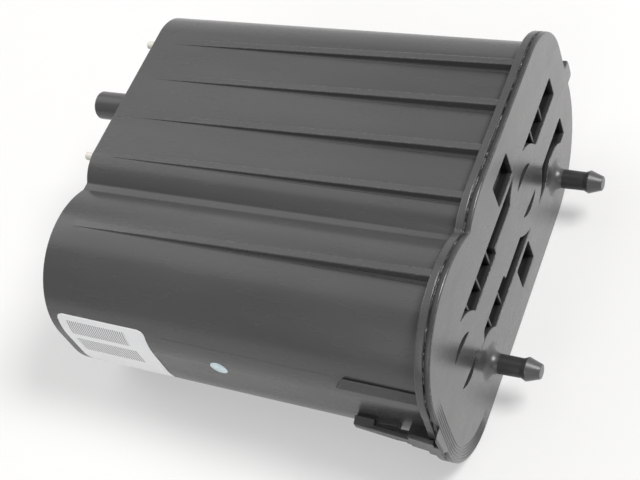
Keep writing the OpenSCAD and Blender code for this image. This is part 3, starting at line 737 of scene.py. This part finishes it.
# %% [markdown]
# Two plugs of natural nylon close the small ports for transit: a head on the rim and a stem to pull them by.
# Nylon without pigment is milky, so light goes a little way in. A weak subsurface share gives that look.

# %% Transit plugs
STEM_R, STEM_LEN, HEAD_T = 1.9, 9.5, 1.4
STEM_ROUND, HEAD_ROUND, PLUG_CLEAR = 0.8, 0.4, 0.05


def natural_nylon():
    """Milky, slightly yellow nylon with soft mottling and a faint grain."""
    f = Finish("natural_nylon")
    f.link(f.mix(f.noise(300.0), (0.56, 0.55, 0.49), (0.68, 0.67, 0.61)), f.shader.inputs["Base Color"])
    f.link(f.spread(f.noise(700.0), 0.3, 0.7, 0.38, 0.5), f.shader.inputs["Roughness"])
    f.shader.inputs["Subsurface Weight"].default_value = 0.25
    f.shader.inputs["Subsurface Scale"].default_value = 0.002
    f.bump((f.noise(2500.0), 0.1, 0.04))
    return f.material


NYLON = natural_nylon()
for name, y in (("far_port_plug", FAR_PORT_Y), ("near_port_plug", NEAR_PORT_Y)):
    plug = Shape()
    head = PORT_X - PORT_LEN
    neck, plug_r = head - HEAD_T, PORT_BORE_R - PLUG_CLEAR
    tip = neck - STEM_LEN
    stem = np.vstack([[[tip, POLE]], arc((tip + STEM_ROUND, STEM_R - STEM_ROUND), STEM_ROUND, 180, 90, 5),
                      arc((neck - STEM_ROUND, STEM_R + STEM_ROUND), STEM_ROUND, 270, 360, 5)])
    cap = arc((neck + HEAD_ROUND, PORT_R - HEAD_ROUND), HEAD_ROUND, 180, 90, 4)
    inside = [[head, PORT_R], [head, plug_r], [PORT_X, plug_r], [PORT_X, POLE]]
    turned(plug, y, PORT_Z, np.vstack([stem, cap, inside]), around=40)
    piece(name + "_turned", plug, NYLON, name)

# %% [markdown]
# The cover's face is flat, with deep slots, two windows and crescent grooves round the spring bosses.
# A slot is drawn as a plain polygon. Then points inside a boss or pin circle are pushed out to that circle,
# which leaves the round lands, and a little smoothing gives every corner its mould radius.

# %% Openings in the cover
BOSS_Z, MAIN_BOSS_Y, LOBE_BOSS_Y, BOSS_CLEAR_R = 45.5, 24.5, -56.5, 19.4
PIN_Z, FAR_PIN_Y, NEAR_PIN_Y, PIN_CLEAR_R = 19.6, 50.4, -42.7, 14.5
FAR_LAND_Y, FAR_LAND_Z, FAR_LAND_R = FAR_PIN_Y + 2.6, PIN_Z - 1.6, PIN_CLEAR_R - 0.4
SLOT_IN, NARROW_IN, SLOT_OUT = 7.7, 10.9, 18.5
WINDOW_IN, WINDOW_OUT, WINDOWS = 20.8, 33.6, ((0.8, 18.2, 1), (-2.2, 13.7, -1))
SLOT_HEAD_Y, SLOT_STEP_Y = 69.4, -12.2
CRESCENT_R, CRESCENT_W, CRESCENT_HALF, CRESCENT_LEAN = 11.3, 3.4, 46.0, -6.0
POCKET_DEPTH = 9.0
SLOT_TIP = np.sqrt(BOSS_CLEAR_R ** 2 - SLOT_OUT ** 2)
LANDS = [((MAIN_BOSS_Y, BOSS_Z), BOSS_CLEAR_R), ((LOBE_BOSS_Y, BOSS_Z), BOSS_CLEAR_R),
         ((FAR_LAND_Y, FAR_LAND_Z), FAR_LAND_R), ((NEAR_PIN_Y, PIN_Z), PIN_CLEAR_R)]


def counter_clockwise(outline):
    """The outline in the direction whose signed area is positive."""
    y, z = outline.T
    area = np.sum(y * np.roll(z, -1) - np.roll(y, -1) * z)
    return outline if area > 0 else outline[::-1]


def opening(corners, count=220, rounds=5):
    """Closed outline from its corners: even points, pushed out of the round lands, with softened corners."""
    outline = evenly(np.asarray(corners, dtype=float), count)
    for centre, radius in LANDS:
        arm = outline - centre
        reach = np.linalg.norm(arm, axis=1, keepdims=True)
        outline = np.where(reach < radius, centre + arm / reach * radius, outline)
    return counter_clockwise(softened(evenly(outline, count), rounds))


def crescent(y, side):
    """Groove between an arc round the boss and a flatter arc through its ends, on one side of the boss."""
    ends = np.radians(CRESCENT_HALF)
    sagitta = CRESCENT_R * (1 - np.cos(ends)) - CRESCENT_W
    half = CRESCENT_R * np.sin(ends)
    flat_r = (half ** 2 + sagitta ** 2) / (2 * sagitta)
    flat_half = np.degrees(np.arcsin(half / flat_r))
    outer = arc((0, 0), CRESCENT_R, 90 - CRESCENT_HALF, 90 + CRESCENT_HALF, 40)
    inner = arc((0, CRESCENT_R - CRESCENT_W - flat_r), flat_r, 90 + flat_half, 90 - flat_half, 40)
    lean = np.radians(CRESCENT_LEAN)
    turn = np.array([[np.cos(lean), np.sin(lean)], [-np.sin(lean), np.cos(lean)]])
    outline = evenly(np.vstack([outer, inner]) * side @ turn + (y, BOSS_Z), 120)
    return counter_clockwise(softened(outline, 2))


pockets, grooves = [], []
for side in (1, -1):
    near, narrow, far = BOSS_Z + side * SLOT_IN, BOSS_Z + side * NARROW_IN, BOSS_Z + side * SLOT_OUT
    pockets.append(opening([[MAIN_BOSS_Y + SLOT_TIP, near], [SLOT_HEAD_Y, near], [SLOT_HEAD_Y, far],
                            [MAIN_BOSS_Y + SLOT_TIP, far]]))
    pockets.append(opening([[LOBE_BOSS_Y + SLOT_TIP, near], [SLOT_STEP_Y, near], [SLOT_STEP_Y, narrow],
                            [MAIN_BOSS_Y - SLOT_TIP, narrow], [MAIN_BOSS_Y - SLOT_TIP, far],
                            [LOBE_BOSS_Y + SLOT_TIP, far]], 320))
    grooves += [crescent(y, side) for y in (MAIN_BOSS_Y, LOBE_BOSS_Y)]
for y0, y1, side in WINDOWS:
    z0, z1 = BOSS_Z + side * WINDOW_IN, BOSS_Z + side * WINDOW_OUT
    pockets.append(opening([[y0, z0], [y1, z0], [y1, z1], [y0, z1]], 160))
print(len(pockets), "pockets and", len(grooves), "grooves")

# %% [markdown]
# The plate is one closed surface: a flat face with holes, a bucket in each hole, a rounded rim, and a back
# with the outsides of the buckets. Only the flat parts need a fill. The rest are lofts of shifted outlines.
# Each hole has a small round at its mouth, which catches the light as the real one's does.

# %% Cover plate
RIM_EDGE, MOUTH_R, SEAM_T, SEAM_INSET, SKIRT = 0.8, 0.35, 0.6, 1.2, 0.6
BACK_INSET, SEAM_BEVEL, FLOOR_FILLET, GROOVE_LEFT = SEAM_INSET + 0.6, 0.3, 0.4, 0.4
cover = Shape()
seam = [(WELD_X, BACK_INSET), (WELD_X, SEAM_INSET), (WELD_X + SEAM_T, SEAM_INSET),
        (WELD_X + SEAM_T, SEAM_BEVEL), (WELD_X + SEAM_T + SEAM_BEVEL, 0.0), (FACE_X - PAD_T, 0.0)]
edge = [(FACE_X - PAD_T, 0.0)] + rounded_rows(FACE_X, RIM_EDGE, 0.0, out=False, toward=-1)
outer = [(x, inset, None) for x, inset in seam]
outer += [(x, inset, PAD_FALL * (FACE_X - x) / PAD_T) for x, inset in edge]
# The rim's rounding is marked lighter: partly wear, partly a painted highlight.
cover.loft([at_x(x, rim(inset, fall)) for x, inset, fall in outer],
           [0.1 if 0 < inset < RIM_EDGE else 0.0 for x, inset, fall in outer])


def bucket(shape, outline, depth, mouth):
    """Walls of a hole from its rounded mouth down to a floor with a small fillet."""
    normal = outward(outline)
    turn = np.radians(np.linspace(0, 90, 5))
    rows = [at_x(FACE_X - mouth * (1 - np.cos(a)), outline + normal * mouth * (1 - np.sin(a))) for a in turn]
    rows += [at_x(FACE_X - depth + FLOOR_FILLET, outline), at_x(FACE_X - depth, outline - normal * mouth)]
    # The mouth's rounding is marked lighter: partly wear, partly a painted highlight.
    shape.loft(rows, [0, 0.2, 0.2, 0.2, 0, 0, 0], caps=(False, True))
    return outline + normal * mouth


def jacket(shape, outline, depth):
    """Outside of a bucket behind the plate, with a closed end."""
    grown = outline + outward(outline) * SKIRT
    shape.loft([at_x(WELD_X, grown), at_x(FACE_X - depth - SKIRT, grown)], caps=(False, True))
    return grown


mouths = [bucket(cover, outline, POCKET_DEPTH, MOUTH_R) for outline in pockets]
mouths += [bucket(cover, outline, COVER_T - GROOVE_LEFT, MOUTH_R / 4) for outline in grooves]
jackets = [jacket(cover, outline, POCKET_DEPTH) for outline in pockets]
cover.fill(FACE_X, [rim(RIM_EDGE, 0.0)] + mouths)
cover.fill(WELD_X, [rim(BACK_INSET)] + jackets)
piece("cover_plate", cover, COVER_FINISH, "end_cover")

# %% [markdown]
# The mould maker's tool left fine ridges on the cover's foot. They follow its round, one inside the other.
# Each is a bead: half a circle carried along that line, with a width that fades to nothing at both ends.

# %% Tool ridges on the cover's foot
RIDGE_R, RIDGE_FIRST, RIDGE_PITCH, RIDGE_COUNT = 0.34, 1.7, 1.25, 5
RIDGE_TOP, RIDGE_SIDE, RIDGE_FADE, RIDGE_LEAN, RIDGE_LEAST = 60.0, -55.0, 10.0, 3.0, 0.03
RIDGE_CLOSE, BEAD_SUNK = (40.0, 40.0), 0.05


def bead(shape, path, sideways, lift, width):
    """Half-round bead along a path: at each point half a circle from one side over the top to the other."""
    turn = np.linspace(0, np.pi, 7)[:, None, None]
    across, over = np.cos(turn) * width[:, None], np.sin(turn) * width[:, None]
    rows = path + across * sideways + over * lift - BEAD_SUNK * np.asarray(lift)
    shape.loft(rows.transpose(1, 0, 2), caps=(True, True))


ridges = Shape()
for inset in RIDGE_FIRST + RIDGE_PITCH * np.arange(RIDGE_COUNT):
    rise = np.linspace(1, 0, 40)[:-1]
    side = np.column_stack([inset - FRONT_Y - FOOT_OUT + RIDGE_LEAN * rise ** 1.5,
                            RIM_FOOT_R + (RIDGE_TOP - RIM_FOOT_R) * rise])
    round_foot = arc((RIM_FOOT_R - FRONT_Y - FOOT_OUT, RIM_FOOT_R), RIM_FOOT_R - inset, 180, 270, 60)
    line = np.vstack([side, round_foot, [[RIDGE_SIDE, inset]]])
    from_top = np.clip((RIDGE_TOP - line[:, 1]) / RIDGE_FADE, 0, 1)
    from_side = np.clip((RIDGE_SIDE - line[:, 0]) / RIDGE_FADE, 0, 1)
    fade = np.maximum(from_top * from_side, RIDGE_LEAST)
    closed = np.vstack([line, line[-1:] + RIDGE_CLOSE])
    way = np.column_stack([np.zeros(len(line)), outward(closed)[:-1]])
    bead(ridges, at_x(FACE_X, line), way, (1.0, 0.0, 0.0), RIDGE_R * fade)
piece("cover_tool_ridges", ridges, COVER_FINISH, "end_cover")

# %% [markdown]
# Thin cross ribs stiffen the slots a little below the face. They read as light bars in the dark openings.
# Each is a rounded bar: a rectangle in the plane of the face, lofted from the floor up to a bevelled top.

# %% Cross ribs
CROSS_T, CROSS_DROP, CROSS_PITCH, CROSS_LAP = 1.2, 1.0, 12.2, 0.5
CROSS_ROWS = [(55.0, 2, 1), (-17.2, 3, 1), (-19.6, 2, -1)]
crossbars = Shape()
for first, number, side in CROSS_ROWS:
    z0, z1 = BOSS_Z + side * (SLOT_IN - CROSS_LAP), BOSS_Z + side * (SLOT_OUT + CROSS_LAP)
    for i in range(number):
        y0 = first - i * CROSS_PITCH - CROSS_T / 2
        y1 = first - i * CROSS_PITCH + CROSS_T / 2
        bar = np.array([[y0, z0], [y1, z0], [y1, z1], [y0, z1]])
        prism(crossbars, at_x(FACE_X - POCKET_DEPTH - CROSS_LAP, bar), at_x(FACE_X - CROSS_DROP, bar))
piece("cover_cross_ribs", crossbars, COVER_FINISH, "end_cover", bevel=0.25)

# %% [markdown]
# Two barbed pins push into rubber grommets of the bracket. Each has a wide fillet at its root, a shank with a
# slight taper, a barb with bevels on both sides and a flat tip. Turned profiles give all that in few points.
# Root, shank and nose are pieces of their own, because the shank's colour is painted darker than the rest, as
# shade.

# %% Grommet pins
PIN_R, CROWN_R, PIN_TIP_R, PIN_LEN, NOSE_LEN, BEVEL_LEN, PIN_ROOT_R = 4.2, 5.0, 3.0, 21.5, 7.8, 1.6, 4.2
BARB_R, TIP_IN = 0.5, 0.3
crown = FACE_X + PIN_LEN - NOSE_LEN
tip = FACE_X + PIN_LEN
root = np.vstack([[[FACE_X - SUNK, PIN_R + PIN_ROOT_R]],
                  arc((FACE_X + PIN_ROOT_R, PIN_R + PIN_ROOT_R), PIN_ROOT_R, 180, 270, 9)])
shank = np.array([[FACE_X + PIN_ROOT_R - 0.3, PIN_R - 0.01], [crown - 0.4, PIN_R - 0.15],
                  [crown, PIN_R - 0.1]])
nose = np.vstack([[[crown - 0.5, PIN_R - 0.4], [crown, PIN_R - 0.12]],
                  arc((crown + BEVEL_LEN + BARB_R, CROWN_R - BARB_R), BARB_R, 135, 60, 6),
                  arc((tip - BARB_R, PIN_TIP_R - TIP_IN), BARB_R, 60, 0, 5), [[tip, POLE]]])
roots, shanks, noses = Shape(), Shape(), Shape()
for y in (FAR_PIN_Y, NEAR_PIN_Y):
    turned(roots, y, PIN_Z, root)
    turned(shanks, y, PIN_Z, shank)
    turned(noses, y, PIN_Z, nose)
piece("pin_roots", roots, ROOT_FINISH, "end_cover")
piece("pin_shanks", shanks, SHADED_PIN_FINISH, "end_cover", sharp=45)
piece("pin_noses", noses, ROOT_FINISH, "end_cover", sharp=45)

# %% [markdown]
# Welding squeezes a ragged bead of plastic out of the joint. It breaks the straight edge all round the rim.
# It is a thin tube along the rim whose radius and reach wander by smoothed random numbers of a fixed seed.
# A bump in the finish would be easier, but it wouldn't change the edge that is seen against the light.

# %% Weld flash
FLASH_R, FLASH_POINTS, FLASH_SIDES, FLASH_INSET = 0.42, 900, 8, SEAM_INSET - 0.2
chance = np.random.default_rng(11)


def wander(reach, count):
    """Random numbers round zero, smoothed by a running mean over neighbours and scaled to unit spread."""
    kernel = np.ones(reach) / reach
    raw = chance.normal(size=count)
    smooth = np.convolve(np.concatenate([raw[-reach:], raw, raw[:reach]]), kernel, "same")[reach:-reach]
    return smooth / smooth.std()


path = evenly(np.vstack(rim_runs(FLASH_INSET, None)), FLASH_POINTS)
thick = FLASH_R * np.clip(1 + 0.35 * wander(5, FLASH_POINTS) + 0.25 * wander(2, FLASH_POINTS), 0.35, 2.2)
reach = 0.28 * wander(7, FLASH_POINTS) + 0.12 * wander(2, FLASH_POINTS)
shift = 0.12 * wander(9, FLASH_POINTS)
normal = outward(path)
flash = Shape()
rows = []
for turn in np.linspace(0, 2 * np.pi, FLASH_SIDES + 1)[:-1]:
    ring = path + normal * (reach + thick * np.cos(turn))[:, None]
    ring[:, 1] = np.maximum(ring[:, 1], 0.0)
    rows.append(np.column_stack([WELD_X + SEAM_T / 2 + shift + thick * np.sin(turn), ring]))
# The flash is marked for light specks: partly wear, partly a painted highlight.
flash.loft(rows + rows[:1], [0.15] * (FLASH_SIDES + 1))
piece("weld_flash", flash, SHELL_FINISH, "canister_body", sharp=60)

# %% [markdown]
# A paper label wraps the lobe near the port end. It carries no words, only two blocks of plain stripes.
# The stripes could be a picture, but then the sheet would need unwrapping. Two attributes, across and up,
# hold each point's place on the sheet in millimetres, and a few comparisons of them make the bars.

# %% Label paper
STRIPES, INK_SHARE = ((4.5, 34.7, 50.0, 58.6, 1.15), (4.2, 35.9, 36.4, 46.4, 1.3)), 0.52


def paper_label():
    """White paper with fibre grain and two blocks of grey stripes, placed by the attributes across and up."""
    f = Finish("label_paper")
    across, up = f.attribute("across"), f.attribute("up")
    ink = None
    for x0, x1, z0, z1, pitch in STRIPES:
        bars = f.math("LESS_THAN", f.math("FRACT", f.math("DIVIDE", across, pitch), 0.0), INK_SHARE)
        wide = f.math("MULTIPLY", f.math("GREATER_THAN", across, x0), f.math("LESS_THAN", across, x1))
        tall = f.math("MULTIPLY", f.math("GREATER_THAN", up, z0), f.math("LESS_THAN", up, z1))
        block = f.math("MULTIPLY", bars, f.math("MULTIPLY", wide, tall))
        ink = block if ink is None else f.math("MAXIMUM", ink, block)
    paper = f.mix(f.noise(900.0), (0.80, 0.81, 0.82), (0.86, 0.87, 0.88))
    f.link(f.mix(ink, paper, (0.30, 0.30, 0.31)), f.shader.inputs["Base Color"])
    f.link(f.spread(f.noise(400.0), 0.3, 0.7, 0.4, 0.55), f.shader.inputs["Roughness"])
    f.bump((f.noise(1800.0), 0.08, 0.05))
    return f.material


LABEL_FINISH = paper_label()
print("finish", LABEL_FINISH.name, "with", len(STRIPES), "blocks of stripes")

# %% [markdown]
# The sheet is a patch of the lobe's own surface: a grid over length and height whose depth is the skin's.
# Its corners are round because the sides draw in, like a circle, over the first and last few millimetres.
# A flat sheet could be wrapped on by a modifier, but the formula of the lobe is at hand and exact.

# %% Label sheet
LABEL_X, LABEL_LEN, LABEL_TOP, LABEL_LOW, LABEL_R, LABEL_T = 4.8, 45.4, 61.6, 24.0, 3.0, 0.2
SHEET_GAP, LABEL_GRID = 0.02, 61


def skin_front(x, z):
    """Y of the lobe's front at x and z: the lobe's circle above its middle, a flat, then the lower circle."""
    grow = growth_at(x)[1]
    lobe_r, nose_r = LOBE_R + grow, LOW_FRONT_R + grow
    over = np.maximum(0.0, z - LOBE_Z)
    under = np.maximum(0.0, nose_r - z)
    upper = LOBE_Y - np.sqrt(np.maximum(lobe_r ** 2 - over ** 2, 0.0))
    lower = LOW_FRONT_R - FRONT_Y - np.sqrt(np.maximum(nose_r ** 2 - under ** 2, 0.0))
    return np.where(z > LOBE_Z, upper, lower)


def sheet_over(shape, x, z, thick):
    """Closed thin sheet over the lobe: a grid of points on the skin and the same grid lifted off it."""
    under, over = skin_front(x, z) - SHEET_GAP, skin_front(x, z) - thick
    front = np.stack([x, over, z], axis=-1)
    back = np.stack([x, under, z], axis=-1)
    rows, cols = x.shape
    frame_faces = loft_faces(rows, cols, wrap=False)
    shape.add(front, frame_faces)
    shape.add(back, frame_faces)
    edge = np.r_[np.arange(cols), np.arange(1, rows) * cols + cols - 1,
                 (rows - 1) * cols + np.arange(cols - 1)[::-1], np.arange(1, rows - 1)[::-1] * cols]
    following = np.roll(edge, -1)
    shape.faces += np.column_stack([edge, following, following + rows * cols, edge + rows * cols]).tolist()


up = np.linspace(LABEL_LOW, LABEL_TOP, LABEL_GRID)
from_end = np.minimum(up - LABEL_LOW, LABEL_TOP - up)
drawn = LABEL_R - np.sqrt(LABEL_R ** 2 - np.maximum(0.0, LABEL_R - from_end) ** 2)
share = np.linspace(0, 1, LABEL_GRID)[None, :]
across = drawn[:, None] + (LABEL_LEN - 2 * drawn[:, None]) * share
label = Shape()
sheet_over(label, PORT_X + LABEL_X + across, np.broadcast_to(up[:, None], across.shape), LABEL_T)
label_piece = piece("paper_label", label, LABEL_FINISH, "label")
spot = np.empty(len(label_piece.data.vertices) * 3)
label_piece.data.vertices.foreach_get("co", spot)
spot = spot.reshape(-1, 3) / MM
for name, value in (("across", spot[:, 0] - PORT_X - LABEL_X), ("up", spot[:, 2])):
    label_piece.data.attributes.new(name, "FLOAT", "POINT").data.foreach_set("value", value)

# %% [markdown]
# Where two parts of the mould met there is a fine line on the lobe. It is a bead again, laid on the skin.
# A line in the finish would do from afar, but a bead catches the light on one side as a real step does.

# %% Mould line on the lobe
MOULD_X, MOULD_END, MOULD_Z, MOULD_R, MOULD_POINTS, MOULD_FADE = 53.0, 143.0, 59.8, 0.16, 90, 8.0
ALONG_LOBE, OFF_LOBE = np.array((0.0, 0.33, 0.94)), np.array((0.0, -0.94, 0.33))
along = np.linspace(PORT_X + MOULD_X, PORT_X + MOULD_END, MOULD_POINTS)
share = np.clip(np.minimum(along - along[0], along[-1] - along) / MOULD_FADE + 0.1, 0, 1)
height = np.full(MOULD_POINTS, MOULD_Z)
path = np.column_stack([along, skin_front(along, height), height])
mould = Shape()
bead(mould, path, ALONG_LOBE, OFF_LOBE, MOULD_R * share)
piece("mould_line", mould, SHELL_FINISH, "canister_body")

# %% [markdown]
# An inspector's dot of pale blue paint sits lower on the lobe. Paint pools, so the dot is very flat and has a
# slightly raised rim. It could be a spot in the shell's finish, but a polar grid on the skin has an edge.

# %% Paint dot
DOT_X, DOT_Z, DOT_R, DOT_T = 82.9, 48.1, 3.9, 0.2


def dot_paint():
    """Glossy pale blue paint, thinner and whiter in places."""
    f = Finish("dot_paint")
    f.link(f.mix(f.spread(f.noise(380.0), 0.35, 0.65, 0.0, 1.0), (0.50, 0.66, 0.72), (0.70, 0.80, 0.84)),
           f.shader.inputs["Base Color"])
    f.link(f.spread(f.noise(900.0), 0.3, 0.7, 0.25, 0.4), f.shader.inputs["Roughness"])
    f.bump((f.noise(500.0), 0.2, 0.1))
    return f.material


radius = DOT_R * np.r_[0.01, np.linspace(0.2, 1.0, 9), 1.0][:, None]
lift = np.r_[0.75, np.linspace(0.76, 0.95, 7), 1.0, 0.55, 0.0][:, None] * DOT_T
angle = np.linspace(0, 2 * np.pi, 48, endpoint=False)[None, :]
x, z = PORT_X + DOT_X + radius * np.cos(angle), DOT_Z + radius * np.sin(angle)
dot = Shape()
dot.loft(np.stack([x, skin_front(x, z) - lift, z], axis=-1), caps=(True, True))
piece("blue_paint_dot", dot, dot_paint(), "paint_dot")

# %% [markdown]
# Felt, carbon, plates and springs are shut inside. Their solids already have the right shape, so they keep
# their meshes and only get finishes, each with the grain that would show if the shell were cut open.

# %% Finishes of the inner pieces
def grained(name, dark, light, scale, gloss, strength, distance, metal=0.0):
    """A plain finish: two tones by a noise, gloss between two values and bump by a finer noise."""
    f = Finish(name)
    f.link(f.mix(f.spread(f.noise(scale), 0.3, 0.7, 0.0, 1.0), dark, light), f.shader.inputs["Base Color"])
    f.link(f.spread(f.noise(scale * 2), 0.3, 0.7, *gloss), f.shader.inputs["Roughness"])
    f.shader.inputs["Metallic"].default_value = metal
    f.bump((f.noise(scale * 3), strength, distance))
    return f.material


FELT = (900.0, (0.8, 0.95), 0.6, 0.3)
INNER = {
    "port_pad": grained("white_felt", (0.50, 0.48, 0.42), (0.66, 0.64, 0.57), *FELT),
    "carbon_bed": grained("carbon_granules", (0.008, 0.008, 0.009), (0.03, 0.03, 0.03),
                          450.0, (0.6, 0.9), 1.0, 0.8),
    "spring_pad": grained("grey_felt", (0.46, 0.45, 0.40), (0.60, 0.58, 0.53), *FELT),
    "retainer": grained("retainer_plastic", (0.60, 0.59, 0.54), (0.68, 0.67, 0.62),
                        200.0, (0.4, 0.5), 0.1, 0.05),
    "spring": grained("spring_steel", (0.42, 0.42, 0.43), (0.55, 0.55, 0.56),
                      600.0, (0.25, 0.4), 0.1, 0.02, metal=1.0),
}
for chamber in ("main", "lobe"):
    for kind, material in INNER.items():
        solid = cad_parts[chamber + "_" + kind]
        solid.data.materials.clear()
        solid.data.materials.append(material)
print(2 * len(INNER), "inner pieces finished")

# %% [markdown]
# The canister lies on a white table in soft light. The table takes its white partly from its own colour and
# partly from a glow that only the camera and reflections see, so that it stays pale and still shows a shadow.
# A table lit to full white by lamps alone would throw too much light onto the black shell from below.

# %% Table and surroundings
TABLE_GLOW, TABLE_HALF, TABLE_GAP, SCREEN_GLOW, SCREEN_H = 0.40, 4.0, 0.2, 1.0, 4.0
TABLE_PAINT, WHITE = (0.75, 0.745, 0.735, 1.0), (1.0, 1.0, 1.0, 1.0)


def seen_directly(tree):
    """One where the camera, a reflection or a clear material looks at the surface, nought for other rays."""
    path = tree.nodes.new("ShaderNodeLightPath")
    total = path.outputs["Is Camera Ray"]
    for other in ("Is Glossy Ray", "Is Transmission Ray"):
        larger = tree.nodes.new("ShaderNodeMath")
        larger.operation = "MAXIMUM"
        tree.links.new(total, larger.inputs[0])
        tree.links.new(path.outputs[other], larger.inputs[1])
        total = larger.outputs["Value"]
    return total


def studio_white(name, share):
    """White paint with a share of a glow that is only seen, directly or mirrored, and lights nothing."""
    material = bpy.data.materials.new(name)
    material.use_nodes = True
    tree = material.node_tree
    tree.nodes.remove(tree.nodes["Principled BSDF"])
    kinds = ("ShaderNodeBsdfDiffuse", "ShaderNodeEmission", "ShaderNodeMixShader")
    paint, glow, blend = (tree.nodes.new(kind) for kind in kinds)
    paint.inputs["Color"].default_value = TABLE_PAINT
    glow.inputs["Color"].default_value = WHITE
    part = tree.nodes.new("ShaderNodeMath")
    part.operation = "MULTIPLY"
    part.inputs[1].default_value = share
    tree.links.new(seen_directly(tree), part.inputs[0])
    tree.links.new(part.outputs["Value"], blend.inputs["Fac"])
    tree.links.new(paint.outputs["BSDF"], blend.inputs[1])
    tree.links.new(glow.outputs["Emission"], blend.inputs[2])
    tree.links.new(blend.outputs["Shader"], tree.nodes["Material Output"].inputs["Surface"])
    return material


def studio_sheet(name, corners, share):
    """Flat sheet between four corners in metres, as part of the stage."""
    mesh = bpy.data.meshes.new(name)
    mesh.from_pydata(corners, [], [[0, 1, 2, 3]])
    mesh.materials.append(studio_white(name, share))
    sheet = bpy.data.objects.new(name, mesh)
    bpy.context.scene.collection.objects.link(sheet)


level = float(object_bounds()[0][2]) - TABLE_GAP * MM
half = TABLE_HALF
back = [(half, half, level), (-half, half, level)]
studio_sheet("table", [(-half, -half, level), (half, -half, level), *back], TABLE_GLOW)
studio_sheet("screen", [*back, (-half, half, SCREEN_H), (half, half, SCREEN_H)], SCREEN_GLOW)
print("table at", round(level / MM, 2), "mm")

# %% [markdown]
# A studio has pale walls, so some light comes from everywhere. The world gives that as a weak white.
# To the camera alone it is a full white, because the background of the picture has to be plain.

# %% Light of the surroundings
AMBIENT = 0.30
world = bpy.data.worlds.new("studio")
bpy.context.scene.world = world
world.use_nodes = True
tree = world.node_tree
ambient = tree.nodes["Background"]
ambient.inputs["Color"].default_value = WHITE
ambient.inputs["Strength"].default_value = AMBIENT
seen = tree.nodes.new("ShaderNodeBackground")
seen.inputs["Color"].default_value = WHITE
seen.inputs["Strength"].default_value = 1.0
blend = tree.nodes.new("ShaderNodeMixShader")
tree.links.new(tree.nodes.new("ShaderNodeLightPath").outputs["Is Camera Ray"], blend.inputs["Fac"])
tree.links.new(ambient.outputs["Background"], blend.inputs[1])
tree.links.new(seen.outputs["Background"], blend.inputs[2])
tree.links.new(blend.outputs["Shader"], tree.nodes["World Output"].inputs["Surface"])
print("ambient light", AMBIENT)

# %% [markdown]
# The key light is a soft screen high on the right and a little behind, so the pins' shadows lie under them.
# Two weaker screens on the left stand where the top of the shell mirrors them, and a faint one is in front.
# One sky of even light would be simpler, but the ribs would lose their dark sides and the table its shadows.

# %% Lamps
def soft_lamp(name, place, target, size, power):
    """Square area lamp at a place in metres that faces a target."""
    data = bpy.data.lights.new(name, "AREA")
    data.size = size
    data.energy = power
    lamp = bpy.data.objects.new(name, data)
    aim = Vector(target) - Vector(place)
    lamp.matrix_world = Matrix.Translation(place) @ aim.to_track_quat("-Z", "Y").to_matrix().to_4x4()
    bpy.context.scene.collection.objects.link(lamp)


soft_lamp("overhead_screen", (1.5, 0.65, 2.2), (0.0, 0.0, 0.0), 0.9, 68.0)
soft_lamp("upper_left_screen", (-1.0, 0.4, 1.9), (0.0, 0.0, 0.05), 1.8, 9.0)
soft_lamp("left_screen", (-1.6, 0.3, 0.9), (0.0, 0.0, 0.05), 1.0, 9.0)
soft_lamp("front_fill", (0.0, -1.6, 0.9), (0.0, 0.0, 0.05), 1.2, 8.0)
print("lamps", len(bpy.data.lights))

# %% [markdown]
# The camera stands where the photographer stood: its place and turn were found from the edges of the shell in
# the picture. A matrix of right, up and backward directions holds the turn without any angles.

# %% Camera
CAMERA_PLACE = Vector((0.257763, -0.259971, 0.469305))
CAMERA_FORWARD = Vector((-0.45112, 0.44800, -0.77188)).normalized()
CAMERA_UP = Vector((-0.13891, 0.81910, 0.55658))
right = CAMERA_FORWARD.cross(CAMERA_UP).normalized()
turned_up = right.cross(CAMERA_FORWARD)
lens = bpy.data.cameras.new("camera")
lens.sensor_fit = "HORIZONTAL"
lens.sensor_width = 36.0
lens.lens = 72.61
lens.clip_start = 0.01
camera = bpy.data.objects.new("camera", lens)
facing = Matrix((right, turned_up, -CAMERA_FORWARD)).transposed().to_4x4()
camera.matrix_world = Matrix.Translation(CAMERA_PLACE) @ facing
bpy.context.scene.collection.objects.link(camera)
bpy.context.scene.camera = camera
bpy.context.scene.view_settings.view_transform = "Standard"
print("camera at", [round(v, 3) for v in CAMERA_PLACE])

# %% [markdown]
